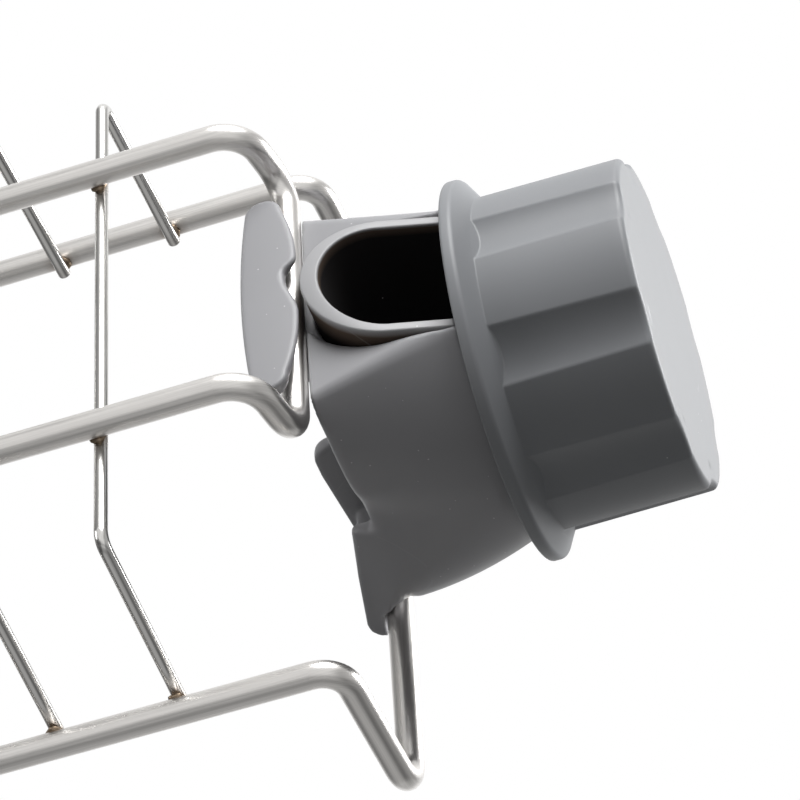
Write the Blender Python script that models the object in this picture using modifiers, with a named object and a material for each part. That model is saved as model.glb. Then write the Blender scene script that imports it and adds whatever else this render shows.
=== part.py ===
# Faucet shelf: a welded wire basket whose two raised end bars sit in the hooks of a moulded clamp.
# A U-shaped strap in the clamp goes round the faucet's neck, and a round knob draws it tight.
# Metres, +Z up. Inside the shelf's own empty, x runs from the basket to the knob with zero at the
# cross wire nearest the clamp, y across the basket and z up from the middle of the floor rails.

import math

import bmesh
import bpy
from mathutils import Matrix, Vector

# Wires of the basket
RAIL_RADIUS = 0.0025
CROSS_RADIUS = 0.00125
WELD_GAP = 0.0003
MERGE_DISTANCE = 0.000003
FLOOR_RAIL_OFFSET = 0.0343
RIM_RAIL_OFFSET = 0.0662
RIM_HEIGHT = 0.0415
CROSS_COUNT = 11
CROSS_PITCH = 0.023
CROSS_SPREAD = 0.0028
CROSS_TIP = 0.0015
CROSS_BEND_RADIUS = 0.004
FLOOR_END_REACH = 0.029
FLOOR_END_LEAN = 0.003
FLOOR_END_RISE = 0.0159
FLOOR_BEND_RADIUS = 0.0075
FLOOR_CORNER_RADIUS = 0.0064
RIM_END_REACH = 0.0298
RIM_END_LEAN = 0.0015
RIM_END_RISE = 0.0349
RIM_BEND_RADIUS = 0.0055
RIM_CORNER_RADIUS = 0.0074
RIM_FAR_RADIUS = 0.014

# Clearances
FIT_GAP = 0.0003
RUN_GAP = 0.0004
OVERRUN = 0.002

# Strap round the faucet's neck, and how far two turns of the knob draw it
NECK_WIDTH = 0.0262
NECK_LENGTH = 0.026
STRAP_WALL = 0.0021
STRAP_BEND_WALL = 0.0034
STRAP_HEIGHT = 0.0608
STRAP_END_HEIGHT = 0.0534
STRAP_FULL_LENGTH = 0.0137
CLAMP_TRAVEL = 0.004
ARM_ROOT = 0.006
ARM_WALL = 0.0049
ARM_HALF_HEIGHT = 0.008
ARM_ENGAGEMENT = 0.012

# Clamp body
AXIS_OVER_BAR = 0.0281
BODY_LENGTH = 0.0274
BODY_HALF_WIDTH = 0.025
BODY_LOW_DEPTH = 0.0276
BODY_TOP_HEIGHT = 0.0312
BODY_LOW_CORNER = 0.005
BODY_TOP_CORNER = 0.01
BARREL_RADIUS = 0.0314
BARREL_LENGTH = 0.0022
HORN_GAP = 0.0029
JAW_WALL = 0.003
JAW_HALF_HEIGHT = 0.022

# Hook over the rim's end bar
HOOK_HALF_WIDTH = 0.0217
HOOK_SHOULDER_DROP = 0.0259
HOOK_SHOULDER_DEPTH = 0.0048
LIP_THICKNESS = 0.0035
LIP_RISE = 0.0017
FIN_HALF_WIDTH = 0.0015
FIN_DROP = 0.0271
FIN_EDGE_RADIUS = 0.0015
FIN_STAND_OFF = 0.0001

# Leaf under the floor's end bar, and the arm that carries it
LEAF_THICKNESS = 0.003
LEAF_HALF_LENGTH = 0.0255
LEAF_BACK_REACH = 0.0076
LEAF_BACK_BOW = 0.0018
LEAF_END_REACH = 0.0028
LEAF_FRONT_REACH = 0.003
LEAF_END_WIDTH = 0.006
LEAF_NOTCH_HALF_WIDTH = 0.0065
LEAF_NOTCH_DEPTH = 0.0022
ARCH_HALF_WIDTH = 0.013
ARCH_THICKNESS = 0.004
ARCH_BACK = 0.0036

# Knob
KNOB_LENGTH = 0.0326
KNOB_ROOT_RADIUS = 0.0318
KNOB_TAPER = 0.0003
FLANGE_WIDTH = 0.005
FLANGE_RIM = 0.0009
FLARE_LENGTH = 0.0056
FLARE_CURVE_SHARE = 1.15
SKIRT_RIM = 0.0016
SKIRT_WALL = 0.0017
SKIRT_DEPTH = 0.0036
KNOB_WALL = 0.0032
CAP_WALL = 0.0028
KNOB_EDGE_RADIUS = 0.0015
KNOB_DOME = 0.0006
SLEEVE_WALL = 0.003
FLUTE_COUNT = 8
FLUTE_WIDTH = 0.011
FLUTE_DEPTH = 0.0016
FLUTE_PHASE = math.radians(-1.5)

# Steps that set how finely curved faces are divided
TUBE_RESOLUTION = 4
CROSS_TUBE_RESOLUTION = 3
BEND_STEPS = 6
ARC_STEPS = 12
LOFT_STEPS = 9
LOFT_SIDES = 72
TURN_STEPS = 72
SHARP_ANGLE = math.radians(28)

# Places worked out from the sizes
FAR_WIRE = -CROSS_PITCH * (CROSS_COUNT - 1)
FLOOR_BAR_X = FLOOR_END_REACH + FLOOR_END_LEAN
FLOOR_BAR_Z = FLOOR_END_RISE
RIM_BAR_X = RIM_END_REACH + RIM_END_LEAN
RIM_BAR_Z = RIM_HEIGHT + RIM_END_RISE
AXIS_HEIGHT = FLOOR_BAR_Z + AXIS_OVER_BAR
FAR_BAR_X = FAR_WIRE - FLOOR_BAR_X
CROSS_HEIGHT = RAIL_RADIUS + CROSS_RADIUS + WELD_GAP
CROSS_TOP_Y = RIM_RAIL_OFFSET - RAIL_RADIUS - CROSS_RADIUS - WELD_GAP
BODY_BACK = FLOOR_BAR_X + RAIL_RADIUS + FIT_GAP
BARREL_END = BODY_BACK + BODY_LENGTH
STRAP_TIP = FLOOR_BAR_X + RAIL_RADIUS + RUN_GAP
STRAP_HALF_WIDTH = NECK_WIDTH / 2 + STRAP_WALL
NECK_X = STRAP_TIP + STRAP_HALF_WIDTH
STRAP_END = BARREL_END - RUN_GAP
JAW_X = STRAP_TIP + STRAP_BEND_WALL + NECK_LENGTH
STOP_X = STRAP_END + CLAMP_TRAVEL + FIT_GAP
BOSS_END = STOP_X + JAW_WALL
ARM_START = STRAP_END - ARM_ROOT
ARM_END = BOSS_END + ARM_ENGAGEMENT
ARM_RADIUS = NECK_WIDTH / 2 + ARM_WALL
KNOB_TIP_RADIUS = KNOB_ROOT_RADIUS - KNOB_TAPER
FLANGE_RADIUS = KNOB_ROOT_RADIUS + FLANGE_WIDTH
SKIRT_RADIUS = FLANGE_RADIUS - SKIRT_RIM
BOSS_RADIUS = KNOB_ROOT_RADIUS - KNOB_WALL - RUN_GAP
KNOB_START = BARREL_END + RUN_GAP
KNOB_TIP = KNOB_START + KNOB_LENGTH + KNOB_DOME
MIDDLE_X = (KNOB_TIP + FAR_BAR_X - RAIL_RADIUS) / 2

PARTS = None
CUTTERS = None
SHELF = None


def clear_scene():
    """Remove every object that the startup file holds."""
    for obj in list(bpy.data.objects):
        bpy.data.objects.remove(obj, do_unlink=True)


def new_collection(name):
    collection = bpy.data.collections.new(name)
    bpy.context.scene.collection.children.link(collection)
    return collection


def material(name, colour, roughness, metallic):
    mat = bpy.data.materials.new(name)
    mat.use_nodes = True
    shader = mat.node_tree.nodes["Principled BSDF"]
    shader.inputs["Base Color"].default_value = (*colour, 1)
    shader.inputs["Roughness"].default_value = roughness
    shader.inputs["Metallic"].default_value = metallic
    return mat


def add_part(obj, mat):
    """Put a finished piece under the shelf's empty, in its own collection."""
    PARTS.objects.link(obj)
    obj.parent = SHELF
    obj.data.materials.append(mat)
    return obj


def add_cutter(obj):
    """Put a helper solid among the cutters, out of every render."""
    CUTTERS.objects.link(obj)
    obj.parent = SHELF
    obj.hide_render = True
    obj.display_type = "WIRE"
    return obj


def bend(corner, before, after, radius, steps):
    """Points of the round bend that replaces a corner between two straight runs."""
    into = (corner - before).normalized()
    out = (after - corner).normalized()
    turn = into.angle(out)
    start = corner - into * radius * math.tan(turn / 2)
    inward = (out - into * into.dot(out)).normalized()
    points = []
    for step in range(steps + 1):
        angle = turn * step / steps
        along = into * math.sin(angle) + inward * (1 - math.cos(angle))
        points.append(start + along * radius)
    return points


def bent_wire(corners, radii, closed):
    """Points along a wire through the corners, each rounded to its radius; open ends stay as they are."""
    points = []
    last = len(corners) - 1
    for index, corner in enumerate(corners):
        if not closed and index in (0, last):
            points.append(corner)
            continue
        before = corners[index - 1]
        after = corners[(index + 1) % len(corners)]
        points.extend(bend(corner, before, after, radii[index], BEND_STEPS))
    return points


def tube(name, points, radius, closed, resolution):
    """A round wire along the points, as a curve with a bevel and filled ends."""
    curve = bpy.data.curves.new(name, "CURVE")
    curve.dimensions = "3D"
    curve.bevel_depth = radius
    curve.bevel_resolution = resolution
    curve.use_fill_caps = True
    spline = curve.splines.new("POLY")
    spline.points.add(len(points) - 1)
    for knot, point in zip(spline.points, points):
        knot.co = (*point, 1)
    spline.use_cyclic_u = closed
    return bpy.data.objects.new(name, curve)


def plate(name, outline, low, high, plane):
    """A closed outline made a plate from low to high; plane names the two axes that the outline lies in."""
    curve = bpy.data.curves.new(name, "CURVE")
    curve.dimensions = "2D"
    curve.fill_mode = "BOTH"
    curve.extrude = (high - low) / 2
    spline = curve.splines.new("POLY")
    spline.points.add(len(outline) - 1)
    for knot, point in zip(spline.points, outline):
        knot.co = (point[0], point[1], 0, 1)
    spline.use_cyclic_u = True
    guide = bpy.data.objects.new(name + "_outline", curve)
    bpy.context.scene.collection.objects.link(guide)
    graph = bpy.context.evaluated_depsgraph_get()
    mesh = bpy.data.meshes.new_from_object(guide.evaluated_get(graph))
    bpy.data.objects.remove(guide, do_unlink=True)
    middle = (high + low) / 2
    if plane == "XZ":
        turn = Matrix.Translation((0, middle, 0)) @ Matrix.Rotation(math.pi / 2, 4, "X")
    elif plane == "YZ":
        swapped = Matrix(((0, 0, 1, 0), (1, 0, 0, 0), (0, 1, 0, 0), (0, 0, 0, 1)))
        turn = Matrix.Translation((middle, 0, 0)) @ swapped
    else:
        turn = Matrix.Translation((0, 0, middle))
    mesh.transform(turn)
    work = bmesh.new()
    work.from_mesh(mesh)
    bmesh.ops.remove_doubles(work, verts=work.verts, dist=MERGE_DISTANCE)
    bmesh.ops.recalc_face_normals(work, faces=work.faces)
    work.to_mesh(mesh)
    work.free()
    return bpy.data.objects.new(name, mesh)


def arc(centre, across, up, start, end, steps):
    """Points of an ellipse's arc about a centre, from one angle to another, both ends included."""
    points = []
    for step in range(steps + 1):
        angle = start + (end - start) * step / steps
        points.append((centre[0] + across * math.cos(angle), centre[1] + up * math.sin(angle)))
    return points


def combine(obj, other, operation):
    """Join another solid to the piece, or cut it out."""
    modifier = obj.modifiers.new(other.name, "BOOLEAN")
    modifier.operation = operation
    modifier.object = other
    modifier.solver = "EXACT"


def settle(obj):
    """Apply a finished piece's modifiers, then shade it smooth between its edges."""
    graph = bpy.context.evaluated_depsgraph_get()
    mesh = bpy.data.meshes.new_from_object(obj.evaluated_get(graph))
    obj.modifiers.clear()
    obj.data = mesh
    mesh.shade_smooth()
    mesh.set_sharp_from_angle(angle=SHARP_ANGLE)


def rim_wire(steel):
    """The basket's rim: two rails, a flat far end, and a near end turned up to its end bar."""
    far = Vector((FAR_BAR_X, RIM_RAIL_OFFSET, RIM_HEIGHT))
    foot = Vector((RIM_END_REACH, RIM_RAIL_OFFSET, RIM_HEIGHT))
    top = Vector((RIM_BAR_X, RIM_RAIL_OFFSET, RIM_BAR_Z))
    across = Vector((1, -1, 1))
    corners = [far, foot, top, top * across, foot * across, far * across]
    radii = [RIM_FAR_RADIUS, RIM_BEND_RADIUS, RIM_CORNER_RADIUS]
    points = bent_wire(corners, radii + radii[::-1], True)
    return add_part(tube("rim_wire", points, RAIL_RADIUS, True, TUBE_RESOLUTION), steel)


def floor_wire(steel):
    """The frame under the cross wires: two rails, both ends turned up to an end bar."""
    foot = Vector((FLOOR_END_REACH, FLOOR_RAIL_OFFSET, 0))
    top = Vector((FLOOR_BAR_X, FLOOR_RAIL_OFFSET, FLOOR_BAR_Z))
    across = Vector((1, -1, 1))
    along = Vector((-1, 1, 1))
    middle = Vector((FAR_WIRE, 0, 0))
    near = [foot, top, top * across, foot * across]
    far = [middle + corner * along for corner in reversed(near)]
    radii = [FLOOR_BEND_RADIUS, FLOOR_CORNER_RADIUS, FLOOR_CORNER_RADIUS, FLOOR_BEND_RADIUS]
    points = bent_wire(near + far, radii + radii, True)
    return add_part(tube("floor_wire", points, RAIL_RADIUS, True, TUBE_RESOLUTION), steel)


def cross_wires(steel):
    """The basket's ribs: each lies on the floor rails and climbs inside the rim rails."""
    tip = Vector((0, CROSS_TOP_Y, RIM_HEIGHT + CROSS_TIP))
    corner = Vector((0, CROSS_TOP_Y - CROSS_SPREAD, CROSS_HEIGHT))
    across = Vector((1, -1, 1))
    corners = [tip * across, corner * across, corner, tip]
    points = bent_wire(corners, [0, CROSS_BEND_RADIUS, CROSS_BEND_RADIUS, 0], False)
    for index in range(CROSS_COUNT):
        name = f"cross_wire_{index + 1:02d}"
        wire = add_part(tube(name, points, CROSS_RADIUS, False, CROSS_TUBE_RESOLUTION), steel)
        wire.location.x = -CROSS_PITCH * index


def section(share):
    """Half width, depth below and height above the axis, and both corner radii, at a share of the taper."""
    ease = share * share
    width = BODY_HALF_WIDTH + (BARREL_RADIUS - BODY_HALF_WIDTH) * share
    low = BODY_LOW_DEPTH + (BARREL_RADIUS - BODY_LOW_DEPTH) * share
    top = BODY_TOP_HEIGHT + (BARREL_RADIUS - BODY_TOP_HEIGHT) * share
    low_corner = BODY_LOW_CORNER + (BARREL_RADIUS - BODY_LOW_CORNER) * ease
    top_corner = BODY_TOP_CORNER + (BARREL_RADIUS - BODY_TOP_CORNER) * (share + ease) / 2
    return width, low, top, low_corner, top_corner


def section_points(share):
    """A ring of points in y and z: a rectangle with round corners, whose radii grow until it is a circle."""
    width, low, top, low_corner, top_corner = section(share)
    points = []
    quarter = LOFT_SIDES // 4
    upper = [(1, 1, top, top_corner), (-1, 1, top, top_corner)]
    places = upper + [(-1, -1, low, low_corner), (1, -1, low, low_corner)]
    for turn, (side, up, reach, radius) in enumerate(places):
        for step in range(quarter):
            angle = (turn + step / (quarter - 1)) * math.pi / 2
            y = side * (width - radius) + radius * math.cos(angle)
            z = up * (reach - radius) + radius * math.sin(angle)
            points.append((y, AXIS_HEIGHT + z))
    return points


def body_loft():
    """The clamp's main form, from its flat back to the round barrel, as a loft through the rings."""
    taper = BODY_LENGTH - BARREL_LENGTH
    shares = [step / LOFT_STEPS for step in range(LOFT_STEPS + 1)]
    stations = [(BODY_BACK + taper * share, share) for share in shares]
    stations.append((BARREL_END, 1))
    work = bmesh.new()
    rings = [[work.verts.new((x, y, z)) for y, z in section_points(share)] for x, share in stations]
    for ring, after in zip(rings, rings[1:]):
        for index, vert in enumerate(ring):
            other = (index + 1) % len(ring)
            work.faces.new((vert, ring[other], after[other], after[index]))
    work.faces.new(rings[0])
    work.faces.new(rings[-1])
    bmesh.ops.remove_doubles(work, verts=work.verts, dist=MERGE_DISTANCE)
    bmesh.ops.recalc_face_normals(work, faces=work.faces)
    mesh = bpy.data.meshes.new("clamp_body")
    work.to_mesh(mesh)
    work.free()
    return bpy.data.objects.new("clamp_body", mesh)


def box(name, low, high):
    work = bmesh.new()
    bmesh.ops.create_cube(work, size=1)
    size = Vector(high) - Vector(low)
    middle = (Vector(high) + Vector(low)) / 2
    place = Matrix.Translation(middle) @ Matrix.Diagonal((*size, 1))
    bmesh.ops.transform(work, matrix=place, verts=work.verts)
    mesh = bpy.data.meshes.new(name)
    work.to_mesh(mesh)
    work.free()
    return bpy.data.objects.new(name, mesh)


def cylinder_x(name, radius, start, end, sides):
    """A cylinder about the knob's axis from one x to another."""
    work = bmesh.new()
    bmesh.ops.create_cone(
        work, cap_ends=True, segments=sides, radius1=radius, radius2=radius, depth=end - start
    )
    turn = Matrix.Translation(((start + end) / 2, 0, AXIS_HEIGHT)) @ Matrix.Rotation(math.pi / 2, 4, "Y")
    bmesh.ops.transform(work, matrix=turn, verts=work.verts)
    mesh = bpy.data.meshes.new(name)
    work.to_mesh(mesh)
    work.free()
    return bpy.data.objects.new(name, mesh)


def hook_outline():
    """Side view of the upper hook in x and z: a sloping back, a rounded lip and a seat round the end bar."""
    seat = RAIL_RADIUS + FIT_GAP
    lip = LIP_THICKNESS / 2
    lip_x = RIM_BAR_X - seat - lip
    lip_z = RIM_BAR_Z + LIP_RISE
    front = BODY_BACK + OVERRUN
    shoulder = (BODY_BACK - HOOK_SHOULDER_DEPTH, RIM_BAR_Z - HOOK_SHOULDER_DROP)
    outline = [(front, shoulder[1]), shoulder]
    outline.extend(arc((lip_x, lip_z), lip, lip, math.pi, 0, ARC_STEPS))
    outline.extend(arc((RIM_BAR_X, RIM_BAR_Z), seat, seat, math.pi, math.pi * 3 / 2, ARC_STEPS // 2))
    outline.append((front, RIM_BAR_Z - seat))
    return outline


def fin_outline():
    """Side view of the fin down the middle of the hook's back, with a round lower corner."""
    back = RIM_BAR_X - RAIL_RADIUS - FIT_GAP - LIP_THICKNESS - FIN_STAND_OFF
    low = RIM_BAR_Z - FIN_DROP
    inside = BODY_BACK - HOOK_SHOULDER_DEPTH + OVERRUN
    centre = (back + FIN_EDGE_RADIUS, low + FIN_EDGE_RADIUS)
    outline = arc(centre, FIN_EDGE_RADIUS, FIN_EDGE_RADIUS, math.pi, math.pi * 3 / 2, ARC_STEPS // 3)
    outline.append((inside, low))
    outline.append((inside, low + OVERRUN))
    outline.append((back + LIP_THICKNESS / 2, RIM_BAR_Z))
    outline.append((back, RIM_BAR_Z))
    return outline


def arch_outline():
    """Side view of the arm that goes behind and over the floor's end bar and joins the leaf to the body."""
    seat = RAIL_RADIUS + FIT_GAP
    inner_back = FLOOR_BAR_X - seat - FIT_GAP
    back = inner_back - ARCH_BACK
    low = FLOOR_BAR_Z - seat - LEAF_THICKNESS / 2
    under = FLOOR_BAR_Z + seat + FIT_GAP
    front = BODY_BACK + OVERRUN
    return [
        (back, low),
        (inner_back, low),
        (inner_back, under),
        (front, under),
        (front, under + ARCH_THICKNESS),
        (inner_back, under + ARCH_THICKNESS),
        (back, under + ARCH_THICKNESS - ARCH_BACK / 2),
    ]


def leaf_outline():
    """Plan of the leaf in x and y: a bowed back, round ends, a bowed front edge with a notch."""
    back = FLOOR_BAR_X - LEAF_BACK_REACH
    front = FLOOR_BAR_X + LEAF_FRONT_REACH
    end = FLOOR_BAR_X - LEAF_END_REACH
    flat = LEAF_HALF_LENGTH - LEAF_END_WIDTH / 2
    notch = LEAF_NOTCH_HALF_WIDTH
    half = []
    half.append((front - LEAF_NOTCH_DEPTH, 0))
    half.append((front - LEAF_NOTCH_DEPTH, notch - LEAF_NOTCH_DEPTH))
    half.append((front, notch + LEAF_NOTCH_DEPTH / 2))
    for step in range(1, ARC_STEPS // 2):
        share = step / (ARC_STEPS // 2)
        y = notch + LEAF_NOTCH_DEPTH / 2 + (flat - notch - LEAF_NOTCH_DEPTH / 2) * share
        half.append((front - (front - end - LEAF_END_WIDTH / 2) * share * share, y))
    tip = LEAF_END_WIDTH / 2
    half.extend(arc((end, flat), tip, tip, math.pi / 12, math.pi * 11 / 12, ARC_STEPS // 2))
    for step in range(1, ARC_STEPS // 2 + 1):
        share = 1 - step / (ARC_STEPS // 2)
        half.append((back + LEAF_BACK_BOW * share * share, flat * share))
    other = [(x, -y) for x, y in reversed(half[1:-1])]
    return half + other


def opening_outline():
    """Plan of the hole for the strap: straight sides, and an elliptical back wider than the strap's bend."""
    side = STRAP_HALF_WIDTH + FIT_GAP
    back = NECK_X - STRAP_TIP + HORN_GAP + FIT_GAP
    outline = [(STOP_X, -side), (STOP_X, side)]
    outline.extend(arc((NECK_X, 0), back, side, math.pi / 2, math.pi * 3 / 2, ARC_STEPS * 2))
    return outline


def arm_outline(side, grow):
    """End view of one threaded arm in y and z: flat inside, round outside, grown on every face by a gap."""
    inner = NECK_WIDTH / 2 - grow
    radius = ARM_RADIUS + grow
    reach = ARM_HALF_HEIGHT + grow
    angle = math.asin(reach / radius)
    outline = [(side * inner, AXIS_HEIGHT + reach), (side * inner, AXIS_HEIGHT - reach)]
    for y, z in arc((0, AXIS_HEIGHT), radius, radius, -angle, angle, ARC_STEPS):
        outline.append((side * y, z))
    return outline


def clamp_body(plastic):
    """The moulded clamp: the loft with its boss, hook, fin, jaw and leaf, cut open for the strap."""
    body = add_part(body_loft(), plastic)
    reach = BARREL_RADIUS + OVERRUN
    under = (BODY_BACK - OVERRUN, -reach, AXIS_HEIGHT - reach)
    over = (BARREL_END + OVERRUN, reach, AXIS_HEIGHT - BODY_LOW_DEPTH)
    combine(body, add_cutter(box("cut_low_face", under, over)), "DIFFERENCE")
    boss = cylinder_x("add_boss", BOSS_RADIUS, BARREL_END - OVERRUN, BOSS_END, TURN_STEPS)
    combine(body, add_cutter(boss), "UNION")
    hook = plate("add_hook", hook_outline(), -HOOK_HALF_WIDTH, HOOK_HALF_WIDTH, "XZ")
    combine(body, add_cutter(hook), "UNION")
    fin = plate("add_fin", fin_outline(), -FIN_HALF_WIDTH, FIN_HALF_WIDTH, "XZ")
    combine(body, add_cutter(fin), "UNION")
    arch = plate("add_arch", arch_outline(), -ARCH_HALF_WIDTH, ARCH_HALF_WIDTH, "XZ")
    combine(body, add_cutter(arch), "UNION")
    opening = plate("cut_opening", opening_outline(), AXIS_HEIGHT - reach, AXIS_HEIGHT + reach, "XY")
    combine(body, add_cutter(opening), "DIFFERENCE")
    for side in (1, -1):
        outline = arm_outline(side, RUN_GAP)
        slot = plate(f"cut_slot_{side + 1}", outline, ARM_START - RUN_GAP, BOSS_END + OVERRUN, "YZ")
        combine(body, add_cutter(slot), "DIFFERENCE")
    half = NECK_WIDTH / 2 - RUN_GAP * 2
    jaw_low = (JAW_X, -half, AXIS_HEIGHT - JAW_HALF_HEIGHT)
    jaw_high = (STOP_X + JAW_WALL / 2, half, AXIS_HEIGHT + JAW_HALF_HEIGHT)
    combine(body, add_cutter(box("add_jaw", jaw_low, jaw_high)), "UNION")
    leaf_top = FLOOR_BAR_Z - RAIL_RADIUS - FIT_GAP
    leaf = plate("add_leaf", leaf_outline(), leaf_top - LEAF_THICKNESS, leaf_top, "XY")
    combine(body, add_cutter(leaf), "UNION")
    return body


def strap_outline():
    """Plan of the strap: round outside, an inside whose bend leaves a thicker wall, two straight sides."""
    bend_depth = STRAP_HALF_WIDTH - STRAP_BEND_WALL
    half = NECK_WIDTH / 2
    outline = [(STRAP_END, STRAP_HALF_WIDTH)]
    outline.extend(
        arc((NECK_X, 0), STRAP_HALF_WIDTH, STRAP_HALF_WIDTH, math.pi / 2, math.pi * 3 / 2, ARC_STEPS * 2)
    )
    outline.append((STRAP_END, -STRAP_HALF_WIDTH))
    outline.append((STRAP_END, -half))
    outline.extend(arc((NECK_X, 0), bend_depth, half, math.pi * 3 / 2, math.pi / 2, ARC_STEPS * 2))
    outline.append((STRAP_END, half))
    return outline


def rim_slope_outline(up):
    """Side view of what is cut off one rim of the strap, so that its height falls towards the knob."""
    start = STRAP_TIP + STRAP_FULL_LENGTH
    drop = (STRAP_HEIGHT - STRAP_END_HEIGHT) / 2
    slope = drop / (STRAP_END - start)
    edge = AXIS_HEIGHT + up * STRAP_HEIGHT / 2
    far = edge + up * OVERRUN
    before = edge + up * slope * OVERRUN
    after = edge - up * (drop + slope * OVERRUN)
    end = STRAP_END + OVERRUN
    return [(start - OVERRUN, far), (end, far), (end, after), (start - OVERRUN, before)]


def pipe_strap(plastic):
    """The U-shaped strap: a tall band whose rims slope to its ends, and two arms for the knob's thread."""
    reach = STRAP_HEIGHT / 2
    strap = plate("pipe_strap", strap_outline(), AXIS_HEIGHT - reach, AXIS_HEIGHT + reach, "XY")
    add_part(strap, plastic)
    width = STRAP_HALF_WIDTH + OVERRUN
    for up in (1, -1):
        slope = plate(f"cut_strap_rim_{up + 1}", rim_slope_outline(up), -width, width, "XZ")
        combine(strap, add_cutter(slope), "DIFFERENCE")
    for side in (1, -1):
        arm = plate(f"add_arm_{side + 1}", arm_outline(side, 0), ARM_START, ARM_END, "YZ")
        combine(strap, add_cutter(arm), "UNION")
    return strap


def flare_radius(height):
    """Outer radius of the flare at a distance from its rim: steep at the rim, easing into the barrel."""
    widen = (1 - height / FLARE_LENGTH) ** FLARE_CURVE_SHARE
    return KNOB_ROOT_RADIUS + (FLANGE_RADIUS - KNOB_ROOT_RADIUS) * widen


def knob_profile():
    """Half section of the knob as radius and distance from its flange: down the outside, up the inside."""
    profile = []
    flat = KNOB_TIP_RADIUS - KNOB_EDGE_RADIUS
    for step in range(ARC_STEPS // 2):
        share = step / (ARC_STEPS // 2)
        profile.append((flat * share, KNOB_LENGTH + KNOB_DOME * (1 - share * share)))
    edge_z = KNOB_LENGTH - KNOB_EDGE_RADIUS
    profile.extend(arc((flat, edge_z), KNOB_EDGE_RADIUS, KNOB_EDGE_RADIUS, math.pi / 2, 0, ARC_STEPS // 3))
    for step in range(ARC_STEPS // 2 + 1):
        height = FLARE_LENGTH + (FLANGE_RIM - FLARE_LENGTH) * step / (ARC_STEPS // 2)
        profile.append((flare_radius(height), height))
    profile.append((FLANGE_RADIUS, FLANGE_RIM / 2))
    profile.append((FLANGE_RADIUS - FLANGE_RIM / 2, 0))
    cavity = KNOB_ROOT_RADIUS - KNOB_WALL
    sleeve_start = BOSS_END + RUN_GAP - KNOB_START
    sleeve_end = KNOB_LENGTH - CAP_WALL
    bore = ARM_RADIUS + RUN_GAP
    profile.append((SKIRT_RADIUS, 0))
    profile.append((flare_radius(SKIRT_DEPTH) - SKIRT_WALL, SKIRT_DEPTH))
    profile.append((cavity, FLARE_LENGTH))
    profile.append((cavity, sleeve_end))
    profile.append((bore + SLEEVE_WALL, sleeve_end))
    profile.append((bore + SLEEVE_WALL, sleeve_start))
    profile.append((bore, sleeve_start))
    profile.append((bore, sleeve_end))
    profile.append((0, sleeve_end))
    return profile


def clamp_knob(plastic):
    """The knob: a hollow turned cap with a flared flange, a threaded sleeve inside and flutes outside."""
    profile = knob_profile()
    mesh = bpy.data.meshes.new("clamp_knob")
    edges = [(index, index + 1) for index in range(len(profile) - 1)]
    mesh.from_pydata([(radius, 0, height) for radius, height in profile], edges, [])
    knob = add_part(bpy.data.objects.new("clamp_knob", mesh), plastic)
    knob.location = (KNOB_START, 0, AXIS_HEIGHT)
    knob.rotation_euler = (0, math.pi / 2, 0)
    screw = knob.modifiers.new("turn", "SCREW")
    screw.steps = TURN_STEPS
    screw.render_steps = TURN_STEPS
    screw.use_merge_vertices = True
    screw.merge_threshold = MERGE_DISTANCE
    flute = flute_cutter()
    combine(knob, flute, "DIFFERENCE")
    return knob


def flute_cutter():
    """Eight bars round the knob whose faces bulge into it, all in one mesh."""
    rim = KNOB_ROOT_RADIUS
    half = FLUTE_WIDTH / 2
    chord = math.sqrt(rim * rim - half * half)
    deep = FLUTE_DEPTH - (rim - chord)
    radius = (half * half + deep * deep) / (deep * 2)
    work = bmesh.new()
    for index in range(FLUTE_COUNT):
        angle = FLUTE_PHASE + math.tau * index / FLUTE_COUNT
        made = bmesh.ops.create_cone(
            work, cap_ends=True, segments=TURN_STEPS, radius1=radius, radius2=radius, depth=KNOB_LENGTH
        )
        place = Vector((rim - FLUTE_DEPTH + radius, 0, FLARE_LENGTH + KNOB_LENGTH / 2))
        turn = Matrix.Rotation(angle, 4, "Z") @ Matrix.Translation(place)
        bmesh.ops.transform(work, matrix=turn, verts=made["verts"])
    mesh = bpy.data.meshes.new("cut_flutes")
    work.to_mesh(mesh)
    work.free()
    cutter = add_cutter(bpy.data.objects.new("cut_flutes", mesh))
    cutter.location = (KNOB_START, 0, AXIS_HEIGHT)
    cutter.rotation_euler = (0, math.pi / 2, 0)
    return cutter


clear_scene()
PARTS = new_collection("faucet_shelf")
CUTTERS = new_collection("cutters")
SHELF = bpy.data.objects.new("shelf_frame", None)
SHELF.location = (-MIDDLE_X, 0, RAIL_RADIUS)
PARTS.objects.link(SHELF)
rim_wire(material("rim_steel", (0.62, 0.61, 0.59), 0.18, 1))
floor_wire(material("floor_steel", (0.62, 0.61, 0.59), 0.18, 1))
cross_wires(material("cross_steel", (0.6, 0.59, 0.57), 0.2, 1))
clamp_body(material("body_plastic", (0.3, 0.305, 0.32), 0.35, 0))
pipe_strap(material("strap_plastic", (0.3, 0.305, 0.32), 0.4, 0))
clamp_knob(material("knob_plastic", (0.3, 0.31, 0.325), 0.35, 0))
for piece in PARTS.objects:
    if piece.type == "MESH":
        settle(piece)
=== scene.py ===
import math

import bpy
import numpy as np
from mathutils import Matrix


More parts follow.
